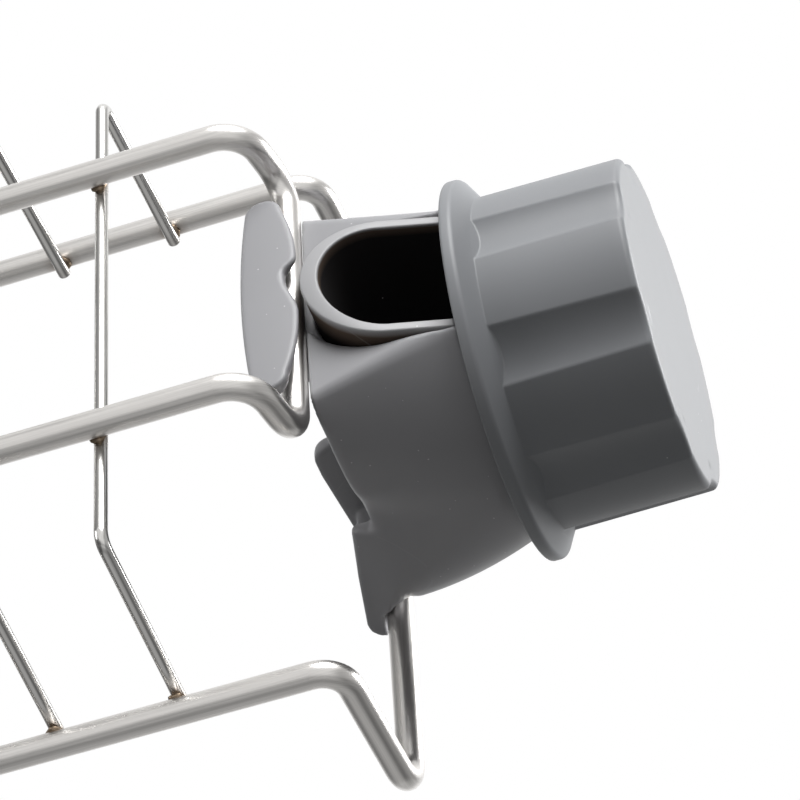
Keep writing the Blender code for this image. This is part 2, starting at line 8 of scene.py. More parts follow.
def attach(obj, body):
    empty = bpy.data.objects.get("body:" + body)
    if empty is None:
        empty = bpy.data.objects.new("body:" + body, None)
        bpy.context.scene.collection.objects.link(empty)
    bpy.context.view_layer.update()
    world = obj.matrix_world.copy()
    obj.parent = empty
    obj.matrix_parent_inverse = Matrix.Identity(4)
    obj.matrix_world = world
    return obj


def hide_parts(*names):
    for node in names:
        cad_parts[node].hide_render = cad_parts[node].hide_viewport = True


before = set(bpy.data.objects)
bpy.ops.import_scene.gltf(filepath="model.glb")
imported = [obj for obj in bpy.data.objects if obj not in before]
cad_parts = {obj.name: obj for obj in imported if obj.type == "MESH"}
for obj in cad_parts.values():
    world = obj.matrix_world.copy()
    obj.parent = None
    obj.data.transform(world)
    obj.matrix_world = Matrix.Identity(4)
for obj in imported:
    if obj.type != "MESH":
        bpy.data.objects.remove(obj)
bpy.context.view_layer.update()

scene = bpy.context.scene

# Everything is worked out in millimetres on the shelf's own axes: x runs to the knob with zero at the
# nearest cross wire, y across, z up from the middle of the floor rails. toFrame puts it in place.
shelf = {"originX": 84.35, "originZ": 2.5, "axisZ": 44.0}


def toFrame(points):
    # Metres = (millimetres + the shelf's origin) / 1000.
    return (np.asarray(points, float) + (shelf["originX"], 0, shelf["originZ"])) / 1000


def unit(vectors):
    # Each vector divided by its own length.
    return vectors / np.linalg.norm(vectors, axis=-1, keepdims=True)


def easeStep(low, high, value):
    # 3t^2 - 2t^3, where t is how far the value has gone from low to high, held between 0 and 1.
    t = np.clip((value - low) / (high - low), 0, 1)
    return t * t * (3 - 2 * t)


def between(pair, share):
    # The first value plus the share of the way to the second.
    return pair[0] + (pair[1] - pair[0]) * share


def meshObject(name, points, faces, corners=None, shade=None):
    # A smooth shaded mesh whose faces point outwards: its signed volume, the sum of p0 . (p1 x p2),
    # says whether they must be turned. corners are the UV places of the faces' corners, in order, and
    # shade is one number for each point, which the materials read: a weld's heat on the wires, and
    # painted shade by depth under the rim on the strap.
    firstHalves = np.array([face[:3] for face in faces])
    otherHalves = np.array([[face[0], face[2], face[3]] for face in faces if len(face) == 4])
    p = points[np.concatenate([firstHalves, otherHalves])]
    if np.einsum("ij,ij->", p[:, 0], np.cross(p[:, 1], p[:, 2])) < 0:
        faces = [face[::-1] for face in faces]
        corners = None if corners is None else [part[::-1] for part in corners]
    mesh = bpy.data.meshes.new(name)
    mesh.from_pydata(toFrame(points).tolist(), [], faces)
    mesh.polygons.foreach_set("use_smooth", np.ones(len(faces), bool))
    if corners is not None:
        layer = mesh.uv_layers.new(name="along")
        layer.data.foreach_set("uv", np.concatenate([np.ravel(part) for part in corners]).astype(np.float32))
    if shade is not None:
        mesh.attributes.new("shade", "FLOAT", "POINT").data.foreach_set("value", shade.astype(np.float32))
    mesh.update()
    obj = bpy.data.objects.new(name, mesh)
    scene.collection.objects.link(obj)
    return obj


def gridFaces(rows, columns, closedRows=False):
    # Quads between closed rings of points, the last ring joined to the first where the rows are closed
    # too. The fans join the first ring to the point after the grid's own and the last ring to the next.
    a, b = np.meshgrid(np.arange(rows if closedRows else rows - 1), np.arange(columns), indexing="ij")
    c, d = (a + 1) % rows, (b + 1) % columns
    quads = np.stack([a * columns + b, c * columns + b, c * columns + d, a * columns + d], -1)
    j = np.arange(columns)
    k = (j + 1) % columns
    pole, last = np.full(columns, rows * columns), (rows - 1) * columns
    fans = [np.stack([pole, j, k], -1), np.stack([pole + 1, last + k, last + j], -1)]
    return quads.reshape(-1, 4), np.concatenate(fans)


def gridObject(name, grid, closedRows=False, ends=None, lengths=None, shade=None):
    # A surface through rings of points, with fans to its two end points where there are any. Across the
    # UV map runs the share of the turn, and up it the length along the rows.
    rows, columns = grid.shape[:2]
    quads, fans = gridFaces(rows, columns, closedRows)
    points, faces, corners = grid.reshape(-1, 3), quads.tolist(), None
    if lengths is not None:
        along = np.append(lengths, lengths[-1] + 1)
        row = quads[:, :1] // columns + (0, 1, 1, 0)
        column = quads[:, :1] % columns + (0, 0, 1, 1)
        corners = list(np.stack([column / columns, along[row]], -1))
    if ends is not None:
        points = np.vstack([points, ends])
        faces += fans.tolist()
        if corners is not None:
            j = np.arange(columns)
            fan = np.stack([j + 0.5, j, j + 1], -1) / columns
            corners += list(np.stack([fan, np.full_like(fan, lengths[0])], -1))
            corners += list(np.stack([fan[:, (0, 2, 1)], np.full_like(fan, lengths[-1])], -1))
    return meshObject(name, points, faces, corners, shade)


# Wires of the basket: drawn steel, bent at the corners and spot welded where they cross.
wires = {
    "railRadius": 2.5,
    "crossRadius": 1.25,
    "weldGap": 0.3,
    "floorOffset": 34.3,
    "rimOffset": 66.2,
    "rimHeight": 41.5,
    "count": 11,
    "pitch": 23.0,
    "spread": 2.8,
    "tip": 1.5,
    "crossBend": 2.6,
    "floorEnd": (29.0, 3.0, 15.9),  # reach, lean and rise of the turned-up end
    "floorBends": (7.5, 6.4),  # bend at the foot, bend at the top corner
    "rimEnd": (29.8, 1.5, 34.9),
    "rimBends": (5.5, 7.4),
    "rimFarBend": 14.0,
    "endRound": 0.35,
    "endRows": 6,
    "guide": (0.5, 0.62, 0.6),  # a way that no wire runs, from which the rings start
    "heatReach": 2.1,
    "step": 1.6,
    "bendSteps": 16,
    "railSides": 28,
    "crossSides": 18,
}


def roundedPath(corners, bends, closed):
    # Each corner becomes an arc: start + bend (into sin a + inward (1 - cos a)), for a from 0 to the turn,
    # and each straight run between two arcs is cut into equal steps.
    corners = [np.array(corner, float) for corner in corners]
    parts = []
    for index, corner in enumerate(corners):
        if not closed and index in (0, len(corners) - 1):
            parts.append(corner[None])
            continue
        into = unit(corner - corners[index - 1])
        out = unit(corners[(index + 1) % len(corners)] - corner)
        turn = math.acos(np.clip(into @ out, -1, 1))
        start = corner - into * bends[index] * math.tan(turn / 2)
        inward = unit(out - into * (into @ out))
        a = np.linspace(0, turn, wires["bendSteps"])[:, None]
        parts.append(start + bends[index] * (into * np.sin(a) + inward * (1 - np.cos(a))))
    path = []
    for index, part in enumerate(parts):
        path.append(part)
        if index + 1 < len(parts) or closed:
            gap = parts[(index + 1) % len(parts)][0] - part[-1]
            cuts = max(2, int(np.linalg.norm(gap) / wires["step"]))
            path.append(part[-1] + gap * (np.arange(1, cuts) / cuts)[:, None])
    return np.concatenate(path)


def wireObject(name, path, radius, sides, closed, welds):
    # Each ring is centre + radius (side cos a + up sin a), side and up square to the path. The heat at a
    # point is the sum of exp(-(d / reach)^2) over the welds, d being its distance from each.
    if closed:
        tangent = unit(np.roll(path, -1, 0) - np.roll(path, 1, 0))
        radii = np.full(len(path), radius)
    else:
        tangent = unit(np.gradient(path, axis=0))
        lip, rows = wires["endRound"], wires["endRows"]
        a = np.linspace(math.pi / 2, 0, rows)[:, None]
        first = path[0] + tangent[0] * lip * (1 - np.sin(a))
        last = path[-1] - tangent[-1] * lip * (1 - np.sin(a[::-1]))
        fade = radius - lip * (1 - np.cos(a[:, 0]))
        radii = np.concatenate([fade, np.full(len(path) - 2, radius), fade[::-1]])
        tangentEnds = np.repeat(tangent[:1], rows, 0), np.repeat(tangent[-1:], rows, 0)
        tangent = np.concatenate([tangentEnds[0], tangent[1:-1], tangentEnds[1]])
        path = np.concatenate([first, path[1:-1], last])
    lengths = np.concatenate([[0], np.cumsum(np.linalg.norm(np.diff(path, axis=0), axis=1))])
    guide = unit(np.array(wires["guide"]))
    side = unit(guide - tangent * (tangent @ guide)[:, None])
    up = np.cross(tangent, side)
    a = np.arange(sides) * 2 * math.pi / sides
    ring = side[:, None] * np.cos(a)[:, None] + up[:, None] * np.sin(a)[:, None]
    grid = path[:, None] + radii[:, None, None] * ring
    ends = None if closed else path[[0, -1]]
    everything = grid.reshape(-1, 3) if closed else np.vstack([grid.reshape(-1, 3), ends])
    far = np.linalg.norm(everything[:, None] - welds[None], axis=2)
    heat = np.exp(-((far / wires["heatReach"]) ** 2)).sum(1)
    obj = gridObject(name, grid, closed, ends, lengths, heat)
    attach(obj, "shelf")
    return obj


def frameCorners(offset, height, end, radii):
    # The four corners of one turned-up end: foot, top, and their mirror images.
    reach, lean, rise = end
    foot, top = (reach, offset, height), (reach + lean, offset, height + rise)
    mirror = lambda p: (p[0], -p[1], p[2])
    return [foot, top, mirror(top), mirror(foot)], [radii[0], radii[1], radii[1], radii[0]]


def weldPlaces():
    # Welds lie midway in the gap between two wires: on top of the floor rails, inside the rim rails.
    along = -wires["pitch"] * np.arange(wires["count"])
    half = wires["weldGap"] / 2
    inside = wires["rimOffset"] - wires["railRadius"] - half
    floor = [(0, side * wires["floorOffset"], wires["railRadius"] + half) for side in (1, -1)]
    rim = [(0, side * inside, wires["rimHeight"]) for side in (1, -1)]
    shift = np.stack([along, 0 * along, 0 * along], -1)
    return [(np.array(places)[:, None] + shift).reshape(-1, 3) for places in (floor, rim)]


bead = {
    "rows": 10,
    "sides": 18,
    "radii": (1.75, 1.95, 0.95),  # along the basket, along the cross wire, over the gap
    "lumps": ((0.07, 6.3, 1.7), (0.05, 9.5, 2.9)),  # height, how close together, phase from bead to bead
}


def weldBeads(floorWelds, rimWelds):
    # A bead is a lumpy ellipsoid: centre + (a cos u sin v, b sin u sin v, c cos v), each radius swelled by
    # a few per cent of sines whose phase runs with the bead's number. c lies over the gap.
    v = np.linspace(0, math.pi, bead["rows"] + 2)[1:-1]
    u = np.arange(bead["sides"]) * 2 * math.pi / bead["sides"]
    vGrid, uGrid = np.meshgrid(v, u, indexing="ij")
    flat = np.sin(vGrid)
    rings = np.stack([np.cos(uGrid) * flat, np.sin(uGrid) * flat, np.cos(vGrid)], -1)
    ball = np.vstack([rings.reshape(-1, 3), [(0, 0, 1), (0, 0, -1)]])
    centres = np.vstack([floorWelds, rimWelds])
    number = np.arange(len(centres))[:, None]
    swell = 1
    for axis, (height, close, phase) in enumerate(bead["lumps"]):
        swell = swell + height * np.sin(close * ball[:, axis] + number * phase)
    points = ball[None] * bead["radii"] * swell[..., None]
    points[len(floorWelds):] = points[len(floorWelds):, :, (0, 2, 1)]
    points = points + centres[:, None]
    quads, fans = gridFaces(*vGrid.shape)
    faces = []
    for index in range(len(centres)):
        first = index * len(ball)
        way = 1 if index < len(floorWelds) else -1
        faces += (quads + first)[:, ::way].tolist() + (fans + first)[:, ::way].tolist()
    heat = np.ones(len(centres) * len(ball))
    beads = meshObject("weldBeads", points.reshape(-1, 3), faces, None, heat)
    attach(beads, "shelf")
    return beads


floorWelds, rimWelds = weldPlaces()
welds = np.vstack([floorWelds, rimWelds])
farWire = -wires["pitch"] * (wires["count"] - 1)
near, nearBends = frameCorners(wires["rimOffset"], wires["rimHeight"], wires["rimEnd"], wires["rimBends"])
farX = farWire - wires["floorEnd"][0] - wires["floorEnd"][1]
farCorners = [(farX, side * wires["rimOffset"], wires["rimHeight"]) for side in (-1, 1)]
rimPath = roundedPath(near + farCorners, nearBends + [wires["rimFarBend"]] * 2, True)
rimWire = wireObject("rimWire", rimPath, wires["railRadius"], wires["railSides"], True, welds)
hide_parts("rim_wire")

near, nearBends = frameCorners(wires["floorOffset"], 0.0, wires["floorEnd"], wires["floorBends"])
far = [(farWire - x, y, z) for x, y, z in reversed(near)]
floorPath = roundedPath(near + far, nearBends + nearBends, True)
floorWire = wireObject("floorWire", floorPath, wires["railRadius"], wires["railSides"], True, welds)
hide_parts("floor_wire")

crossTopY = wires["rimOffset"] - wires["railRadius"] - wires["crossRadius"] - wires["weldGap"]
crossZ = wires["railRadius"] + wires["crossRadius"] + wires["weldGap"]
crossWires = []
for index in range(wires["count"]):
    x = -wires["pitch"] * index
    tip, corner = (x, crossTopY, wires["rimHeight"] + wires["tip"]), (x, crossTopY - wires["spread"], crossZ)
    ends = [(x, -tip[1], tip[2]), (x, -corner[1], corner[2]), corner, tip]
    path = roundedPath(ends, [0, wires["crossBend"], wires["crossBend"], 0], False)
    wireName = f"crossWire{index + 1:02d}"
    wire = wireObject(wireName, path, wires["crossRadius"], wires["crossSides"], False, welds)
    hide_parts(f"cross_wire_{index + 1:02d}")
    crossWires.append(wire)
weldBead = weldBeads(floorWelds, rimWelds)
print("Basket done:", 2 + len(crossWires), "wires and", len(welds), "welds")


# Clamp body: one moulding, given as a distance field whose parts flow into each other. A pair without
# a note holds the value at the back and the value at the barrel, and At gives where the change runs.
clampBody = {
    "back": 34.56,  # flat back, close behind the floor's end bar
    "taper": 25.2,  # length over which the block becomes the round barrel
    "end": 62.2,
    "endEdge": 0.3,
    "halfWidth": (25.0, 31.4),
    "top": (31.2, 31.4),
    "topCorner": (10.0, 31.4),
    "underside": 15.75,
    "undersideEdge": (1.3, 1.9),
    "crown": (0.35, 20.0),  # rise of the underside, and the distance from its middle where it has it
    "crease": (24.1, 15.6),  # half width of the flat underside
    "bulge": (28.4, 31.0),  # widest half width of the back's lower part, and its height
    "bulgeFade": 1.5,
    "sideSwell": (1.1, 2.7),  # how far the sides' lower arches stand out from their chords
    "sideEdge": (0.5, 4.5),
    "sectionAt": (38, 50),  # heights between which the low section gives way to the high one
    "backEdge": (0.4, 2.6),  # roundness of the back's edges low down and high up
    "backEdgeAt": (17.5, 26.0),
    "bossRadius": 28.2,
    "bossStart": 60.2,
    "bossEnd": 69.1,
    "stop": 66.1,
    "slot": (12.7, 18.4, 8.4, 55.4),  # inner face, outer radius, half height and back
    "jaw": (64.3, 67.6, 12.3, 22.0),  # start, end, half width and half height
    "strapCentre": 50.1,
    "openingBack": 16.6,
    "openingSide": 15.5,
    "openingEdge": 1.3,
    "strapRoom": (15.3, 1.035, 0.4),  # clear radius round the strap's bend, its squeeze and its edge
    "rimBar": (31.3, 76.4),
    "floorBar": (32.0, 15.9),
    "seat": (2.8, 0.3),  # radius and edge
    "armBoxes": [  # post, arm and web, from the middle of the floor's end bar
        ((-6.7, -13, -4.3), (-3.1, 13, 7.1)),
        ((-6.7, -13, 3.1), (4.56, 13, 7.1)),
        ((2.56, -17, 3.1), (12.56, 17, 20.0)),
    ],
    "armEdge": 0.8,
    "joins": {"hook": 1.3, "fin": 0.9, "arm": 0.6, "leaf": 0.9},
    "step": 0.5,
    "gridLow": (23.0, -32.8, 8.6),
    "gridHigh": (70.2, 32.8, 81.2),
}
clampBody["hook"] = {
    "back": [
        (39, 44), (31.9, 44), (30.3, 51.0), (27.1, 64.5), (24.6, 77.0), (24.9, 78.6), (25.9, 79.9),
        (27.5, 80.7),
    ],
    "inside": [(30.6, 79.4), (31.3, 77.4), (31.3, 74.0), (35, 73.0), (39, 72.2)],
    "mouth": [(28.0, 77.2), (28.6, 75.1), (30.3, 74.0), (34.8, 73.0), (39, 72.2)],  # at its two ends
    "mouthAt": (18.4, 20.4),
    "half": (21.8, 25.0),
    "halfAt": (26.5, 35.5),
    "corner": (0.9, 12.0),
    "cornerAt": (27.5, 37.5),
    "top": (81.0, 74.2),
    "topAt": (27.6, 31.4),
    "edge": 1.0,
    "shoulder": (51.2, 0.95, 15.0, 21.5),  # height of the horns' shoulders, slope inwards, most, start
    "shoulderEdge": (0.72, 1.2),  # what steepness makes of the distance, and the roundness
}
clampBody["leaf"] = {
    "half": 22.3,  # half length up to the round ends
    "back": (7.85, 1.2),  # distance behind the bar in the middle, and less by this at the ends
    "front": (3.05, 2.7, 7.6, 14.7),  # the same before the bar, and where the bow starts and its length
    "notch": 2.5,
    "notchSteep": (-7.6, -4.0),
    "notchSlow": (-2.8, 7.4),
    "tip": (3.15, 3.5),  # how far behind the bar the round ends lie, and their radius
    "high": (2.8, 0.42, 1.3, 5),  # depth under the bar, slope, its start behind the bar, its length
    "low": (5.8, 0.35, 25.5),  # depth under the bar, rise towards the ends and their distance
    "lowAcross": (2, 6, 0.6),  # the same across: middle behind the bar, distance, share
    "edges": (0.6, 0.8),
}
clampBody["fin"] = {
    "front": 23.7,
    "low": 48.8,
    "half": 1.6,
    "middle": (34, 66),
    "corner": 3.8,
    "lean": (0.085, 56, 20),  # slope, where it starts and its length
    "back": 36,
    "top": 74,
    "edge": 1.0,
}


def smoothMin(a, b, k):
    # The smaller value, pulled down by k h (1 - h) where the two lie within k of each other.
    h = np.clip(0.5 + 0.5 * (b - a) / k, 0, 1)
    return b + (a - b) * h - k * h * (1 - h)


def smoothMax(a, b, k):
    # The larger value, rounded in the same way.
    return -smoothMin(-a, -b, k)


def roundRect(px, pz, halfX, halfZ, corner):
    # Distance to a rectangle with round corners, from a point in its first quarter.
    qx, qz = px - halfX + corner, pz - halfZ + corner
    return np.hypot(np.maximum(qx, 0), np.maximum(qz, 0)) + np.minimum(np.maximum(qx, qz), 0) - corner


def boxField(x, y, z, low, high, edge):
    # Distance to a box with rounded edges.
    q = [np.abs(v - (a + b) / 2) - (b - a) / 2 + edge for v, a, b in zip((x, y, z), low, high)]
    outside = np.sqrt(sum(np.maximum(part, 0) ** 2 for part in q))
    return outside + np.minimum(np.maximum(np.maximum(q[0], q[1]), q[2]), 0) - edge


def polygonField(px, pz, corners):
    # Distance to the nearest edge, below zero where an upward line from the point crosses the outline an
    # odd number of times.
    far, inside = np.inf, np.zeros(np.broadcast(px, pz).shape, bool)
    for (ax, az), (bx, bz) in zip(corners, corners[1:] + corners[:1]):
        ex, ez = bx - ax, bz - az
        t = np.clip(((px - ax) * ex + (pz - az) * ez) / (ex * ex + ez * ez), 0, 1)
        far = np.minimum(far, np.hypot(px - ax - t * ex, pz - az - t * ez))
        if ex:
            inside ^= ((ax <= px) != (bx <= px)) & (pz < az + (px - ax) * ez / ex)
    return np.where(inside, -far, far)


def hookField(x, y, z):
    # Side view: the hook's outline less the bar's seat, with a wider mouth at its two ends. End view: a
    # rectangle whose top corners grow rounder towards the body. A shoulder cuts it off below.
    hook = clampBody["hook"]
    barX, barZ = clampBody["rimBar"]
    ay, axisZ = np.abs(y), shelf["axisZ"]
    px, pz = x + 0 * z, z + 0 * x
    inside, mouth = [polygonField(px, pz, hook["back"] + hook[name]) for name in ("inside", "mouth")]
    side = inside + (mouth - inside) * easeStep(*hook["mouthAt"], ay)
    seat, seatEdge = clampBody["seat"]
    side = smoothMax(side, seat - np.hypot(x - barX, z - barZ), seatEdge)
    parts = ("half", "corner", "top")
    width, corner, top = [between(hook[part], easeStep(*hook[part + "At"], x)) for part in parts]
    ends = roundRect(ay, np.abs(z - axisZ), width, top - axisZ, corner)
    height, slope, most, start = hook["shoulder"]
    shoulder = height + np.clip(slope * (start - ay), 0, most) - z
    steepness, roundness = hook["shoulderEdge"]
    return smoothMax(smoothMax(side, ends, hook["edge"]), shoulder * steepness, roundness)


def leafField(x, y, z):
    # Plan: distance from a bowed middle line less half the width there, with round ends and a notch that
    # is steep on one side; then the thickness, thinner under the bar.
    leaf = clampBody["leaf"]
    barX, barZ = clampBody["floorBar"]
    ay, half = np.abs(y), leaf["half"]
    behind, lessBehind = leaf["back"]
    back = barX - behind + lessBehind * np.clip(ay / half, 0, 1) ** 2
    before, lessBefore, start, length = leaf["front"]
    front = barX + before - lessBefore * np.clip((ay - start) / length, 0, 1) ** 2
    front = front - leaf["notch"] * easeStep(*leaf["notchSteep"], y) * (1 - easeStep(*leaf["notchSlow"], y))
    plan = np.abs(x - (back + front) / 2) - (front - back) / 2
    tipBehind, tipRadius = leaf["tip"]
    plan = np.where(ay > half, np.hypot(x - barX + tipBehind, ay - half) - tipRadius, plan)
    depth, slope, start, length = leaf["high"]
    high = barZ - depth - slope * np.clip(x - barX + start, 0, length)
    depth, rise, reach = leaf["low"]
    middle, across, part = leaf["lowAcross"]
    low = barZ - depth + rise * (np.clip(ay / reach, 0, 1) ** 2 + ((x - barX + middle) / across) ** 2 * part)
    return smoothMax(plan, smoothMax(z - high, low - z, leaf["edges"][0]), leaf["edges"][1])


def finField(x, y, z):
    # A thin plate between two faces: in side view a rectangle with round corners that leans back as it
    # rises, cut off where the hook takes over.
    fin = clampBody["fin"]
    midX, midZ = fin["middle"]
    slope, start, length = fin["lean"]
    lean = x - slope * np.clip(z - start, 0, length)
    halves = midX - fin["front"], midZ - fin["low"]
    plate = roundRect(np.abs(lean - midX), np.abs(z - midZ) + 0 * x, *halves, fin["corner"])
    plate = np.maximum(plate, np.maximum(x - fin["back"], z - fin["top"]))
    return smoothMax(plate, np.abs(y) - fin["half"], fin["edge"])


def lowSection(y, z, share):
    # Under the axis: an arch through the crease and the widest place. Its circle's radius is
    # (chord^2 / 4 + swell^2) / (2 swell), and the underside, crowned by a parabola, cuts it off.
    b = clampBody
    ay, axisZ = np.abs(y), shelf["axisZ"]
    widest = between((b["bulge"][0], b["halfWidth"][1]), share)
    middle = axisZ - (axisZ - b["bulge"][1]) * (1 - share) ** b["bulgeFade"]
    crease, swell = between(b["crease"], share), between(b["sideSwell"], share)
    out, rise = widest - crease, middle - b["underside"]
    chord = np.hypot(out, rise)
    arch = (chord**2 / 4 + swell**2) / (2 * swell)
    centreY = (crease + widest) / 2 - rise / chord * (arch - swell)
    centreZ = (b["underside"] + middle) / 2 + out / chord * (arch - swell)
    circle = np.hypot(ay - centreY, z - centreZ) - arch
    low = smoothMax(circle, ay - widest, between(b["sideEdge"], share))
    crown, reach = b["crown"]
    return smoothMax(low, b["underside"] + crown * (y / reach) ** 2 - z, between(b["undersideEdge"], share))


def openingField(x, y):
    # Plan of the strap's opening: half an ellipse at the back, its distance taken as k0 (k0 - 1) / k1,
    # where k0 and k1 are the point's length over the radii and over their squares, then straight sides.
    b = clampBody
    dx, ay = x - b["strapCentre"], np.abs(y)
    kx, ky = dx / b["openingBack"], ay / b["openingSide"]
    k0 = np.hypot(kx, ky)
    k1 = np.hypot(kx / b["openingBack"], ky / b["openingSide"])
    opening = np.where(dx < 0, k0 * (k0 - 1) / np.maximum(k1, 1e-6), ay - b["openingSide"])
    return np.maximum(opening, x - b["stop"])


def armField(x, y, z):
    # The leaf's post and arm go round the bar, and a web joins them to the block: three rounded boxes,
    # the last two cut back by an upright tube round the strap's bend.
    b = clampBody
    bar = np.array((b["floorBar"][0], 0, b["floorBar"][1]))
    post, arm, web = [boxField(x, y, z, bar + low, bar + high, b["armEdge"]) for low, high in b["armBoxes"]]
    room, squeeze, edge = b["strapRoom"]
    arm = smoothMax(np.minimum(arm, web), room - np.hypot((x - b["strapCentre"]) * squeeze, y), edge)
    return np.minimum(post, arm)


def bodyField(x, y, z):
    # The block blends its low section into a rectangle with round corners above the axis, while both go
    # over into the barrel. Boss, hook and fin are joined to it, the strap's opening and the arms' slots
    # are taken away, and then jaw, arm and leaf are joined.
    b, joins = clampBody, clampBody["joins"]
    ay, up = np.abs(y), z - shelf["axisZ"]
    radial = np.hypot(y, up)
    share = np.clip((x - b["back"]) / b["taper"], 0, 1)
    corner = between(b["topCorner"], (share + share * share) / 2)
    high = roundRect(ay, np.abs(up), between(b["halfWidth"], share), between(b["top"], share), corner)
    low = lowSection(y, z, share)
    d = low + (high - low) * easeStep(*b["sectionAt"], z)
    d = smoothMax(d, b["back"] - x, between(b["backEdge"], easeStep(*b["backEdgeAt"], z)))
    d = smoothMax(d, x - b["end"], b["endEdge"])
    boss = np.maximum(radial - b["bossRadius"], np.maximum(x - b["bossEnd"], b["bossStart"] - x))
    d = smoothMin(np.minimum(d, boss), hookField(x, y, z), joins["hook"])
    d = smoothMin(d, finField(x, y, z), joins["fin"])
    d = smoothMax(d, -openingField(x, y), b["openingEdge"])
    inner, outer, half, back = b["slot"]
    slot = np.maximum(np.maximum(inner - ay, radial - outer), np.maximum(np.abs(up) - half, back - x))
    d = np.maximum(d, -slot)
    start, end, width, height = b["jaw"]
    jaw = np.maximum(np.maximum(start - x, x - end), np.maximum(ay - width, np.abs(up) - height))
    d = smoothMin(np.minimum(d, jaw), armField(x, y, z), joins["arm"])
    return smoothMin(d, leafField(x, y, z), joins["leaf"])


def cellsRound(at, others, du, dv):
    # The cell that lies one step back along either of the two other axes, where du or dv says so.
    cell = at.copy()
    cell[:, others[0]] -= du
    cell[:, others[1]] -= dv
    return tuple(cell.T)


def netOf(field, low, step):
    # One point for each cell that the surface crosses, at the mean of the crossings on its edges, which
    # lie at f0 / (f0 - f1) along each edge, and one quad round each crossed edge.
    inside = field < 0
    size = np.array(field.shape) - 1
    total, count = np.zeros((*size, 3)), np.zeros(size)
    crossings = []
    for axis in range(3):
        one = [slice(None)] * 3
        two = [slice(None)] * 3
        one[axis], two[axis] = slice(0, -1), slice(1, None)
        one, two = tuple(one), tuple(two)
        at = np.argwhere(inside[one] != inside[two])
        others = [k for k in range(3) if k != axis]
        at = at[np.all((at[:, others] > 0) & (at[:, others] < size[others]), axis=1)]
        f0, f1 = field[one][tuple(at.T)], field[two][tuple(at.T)]
        place = at.astype(float)
        place[:, axis] += f0 / (f0 - f1)
        crossings.append((axis, at, inside[one][tuple(at.T)], others))
        for du, dv in ((0, 0), (0, 1), (1, 0), (1, 1)):
            cell = cellsRound(at, others, du, dv)
            np.add.at(count, cell, 1)
            np.add.at(total, cell, place)
    number = np.full(size, -1)
    used = count > 0
    number[used] = np.arange(used.sum())
    points = total[used] / count[used][:, None] * step + np.array(low)
    faces = []
    for axis, at, solidFirst, others in crossings:
        ring = [number[cellsRound(at, others, du, dv)] for du, dv in ((1, 1), (0, 1), (0, 0), (1, 0))]
        quad = np.stack(ring, -1)
        turn = solidFirst if axis != 1 else ~solidFirst
        faces.append(np.where(turn[:, None], quad, quad[:, ::-1]))
    return points, np.concatenate(faces)


def settleOn(points, fieldOf, rounds, probe=0.02, furthest=0.25):
    # Newton's step: each point moves by -f g / |g|^2, held to the furthest move, g being the field's
    # slope from its differences over two probes.
    for _ in range(rounds):
        f = fieldOf(*points.T)
        rises = [fieldOf(*(points + e).T) - fieldOf(*(points - e).T) for e in np.eye(3) * probe]
        slope = np.stack(rises, -1) / (2 * probe)
        move = f[:, None] * slope / np.maximum((slope**2).sum(1), 0.1)[:, None]
        points = points - np.clip(move, -furthest, furthest)
    return points


def bodyObject():
    # The net of the field's zero surface, settled on it twice.
    b = clampBody
    axes = [np.arange(low, high, b["step"]) for low, high in zip(b["gridLow"], b["gridHigh"])]
    x, y, z = np.meshgrid(*axes, indexing="ij", sparse=True)
    points, faces = netOf(bodyField(x, y, z) + 0 * (x + y + z), b["gridLow"], b["step"])
    points = settleOn(points, bodyField, 2)
    obj = meshObject("clampBody", points, faces.tolist())
    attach(obj, "shelf")
    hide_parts("clamp_body")
    print("Clamp body done:", len(faces), "faces")
    return obj


bodyPiece = bodyObject()


# Strap: a tall U-shaped band with sloping rims, and two arms with the knob's thread on them.
strap = {
    "centre": 50.1,
    "end": 61.8,
    "outer": (14.6, 15.2),
    "inner": (11.2, 13.1),
    "endHalfHeight": 26.7,
    "slope": 0.27,  # how much the half height grows for each millimetre away from the knob
    "edge": 0.4,
    "runSteps": 23,
    "bendSteps": 90,
    "cornerSteps": 7,
    "wallRows": (0.97, 0.93, 0.88, 0.8, 0.65, 0.4, 0, -0.4, -0.65, -0.8, -0.88, -0.93, -0.97),
    "paintedShadeDepth": 20.0,  # depth under the rim at which the painted shade is full
    "paintedShadeInside": 2.4,  # how much quicker the painted shade grows on the inner wall
    "arm": (55.8, 81.1),
    "armRadius": 17.95,
    "armReach": 18.0,
    "armHalf": 8.0,
    "armSteps": (120, 25, 12),  # along, over the round side and over the flat one
    "pitch": 2.0,
    "threadDepth": 0.45,
    "threadIn": (61.5, 63.0),
    "threadOut": (79.6, 80.9),
}


def wallSection(columns, rows):
    # A unit section of the wall: across runs from 0 inside to 1 outside and height from -1 to 1. Each
    # corner is a quarter circle, given by its centre's corner and the direction away from it, and the
    # flat sides between the corners get rows that crowd towards the rims.
    a = np.linspace(0, math.pi / 2, columns)
    rows = np.array(rows)
    corner = [(1, 1, 0), (0, 1, 1), (0, -1, 2), (1, -1, 3)]
    across, height, awayAcross, awayHeight = [], [], [], []
    for s, h, turn in corner:
        across.append(np.full(columns, s))
        height.append(np.full(columns, h))
        awayAcross.append(np.cos(a + turn * math.pi / 2))
        awayHeight.append(np.sin(a + turn * math.pi / 2))
        if turn in (1, 3):
            across.append(np.full(len(rows), s))
            height.append(rows * h)
            awayAcross.append(np.full(len(rows), 1 if s else -1))
            awayHeight.append(np.zeros(len(rows)))
    return [np.concatenate(part) for part in (across, height, awayAcross, awayHeight)]


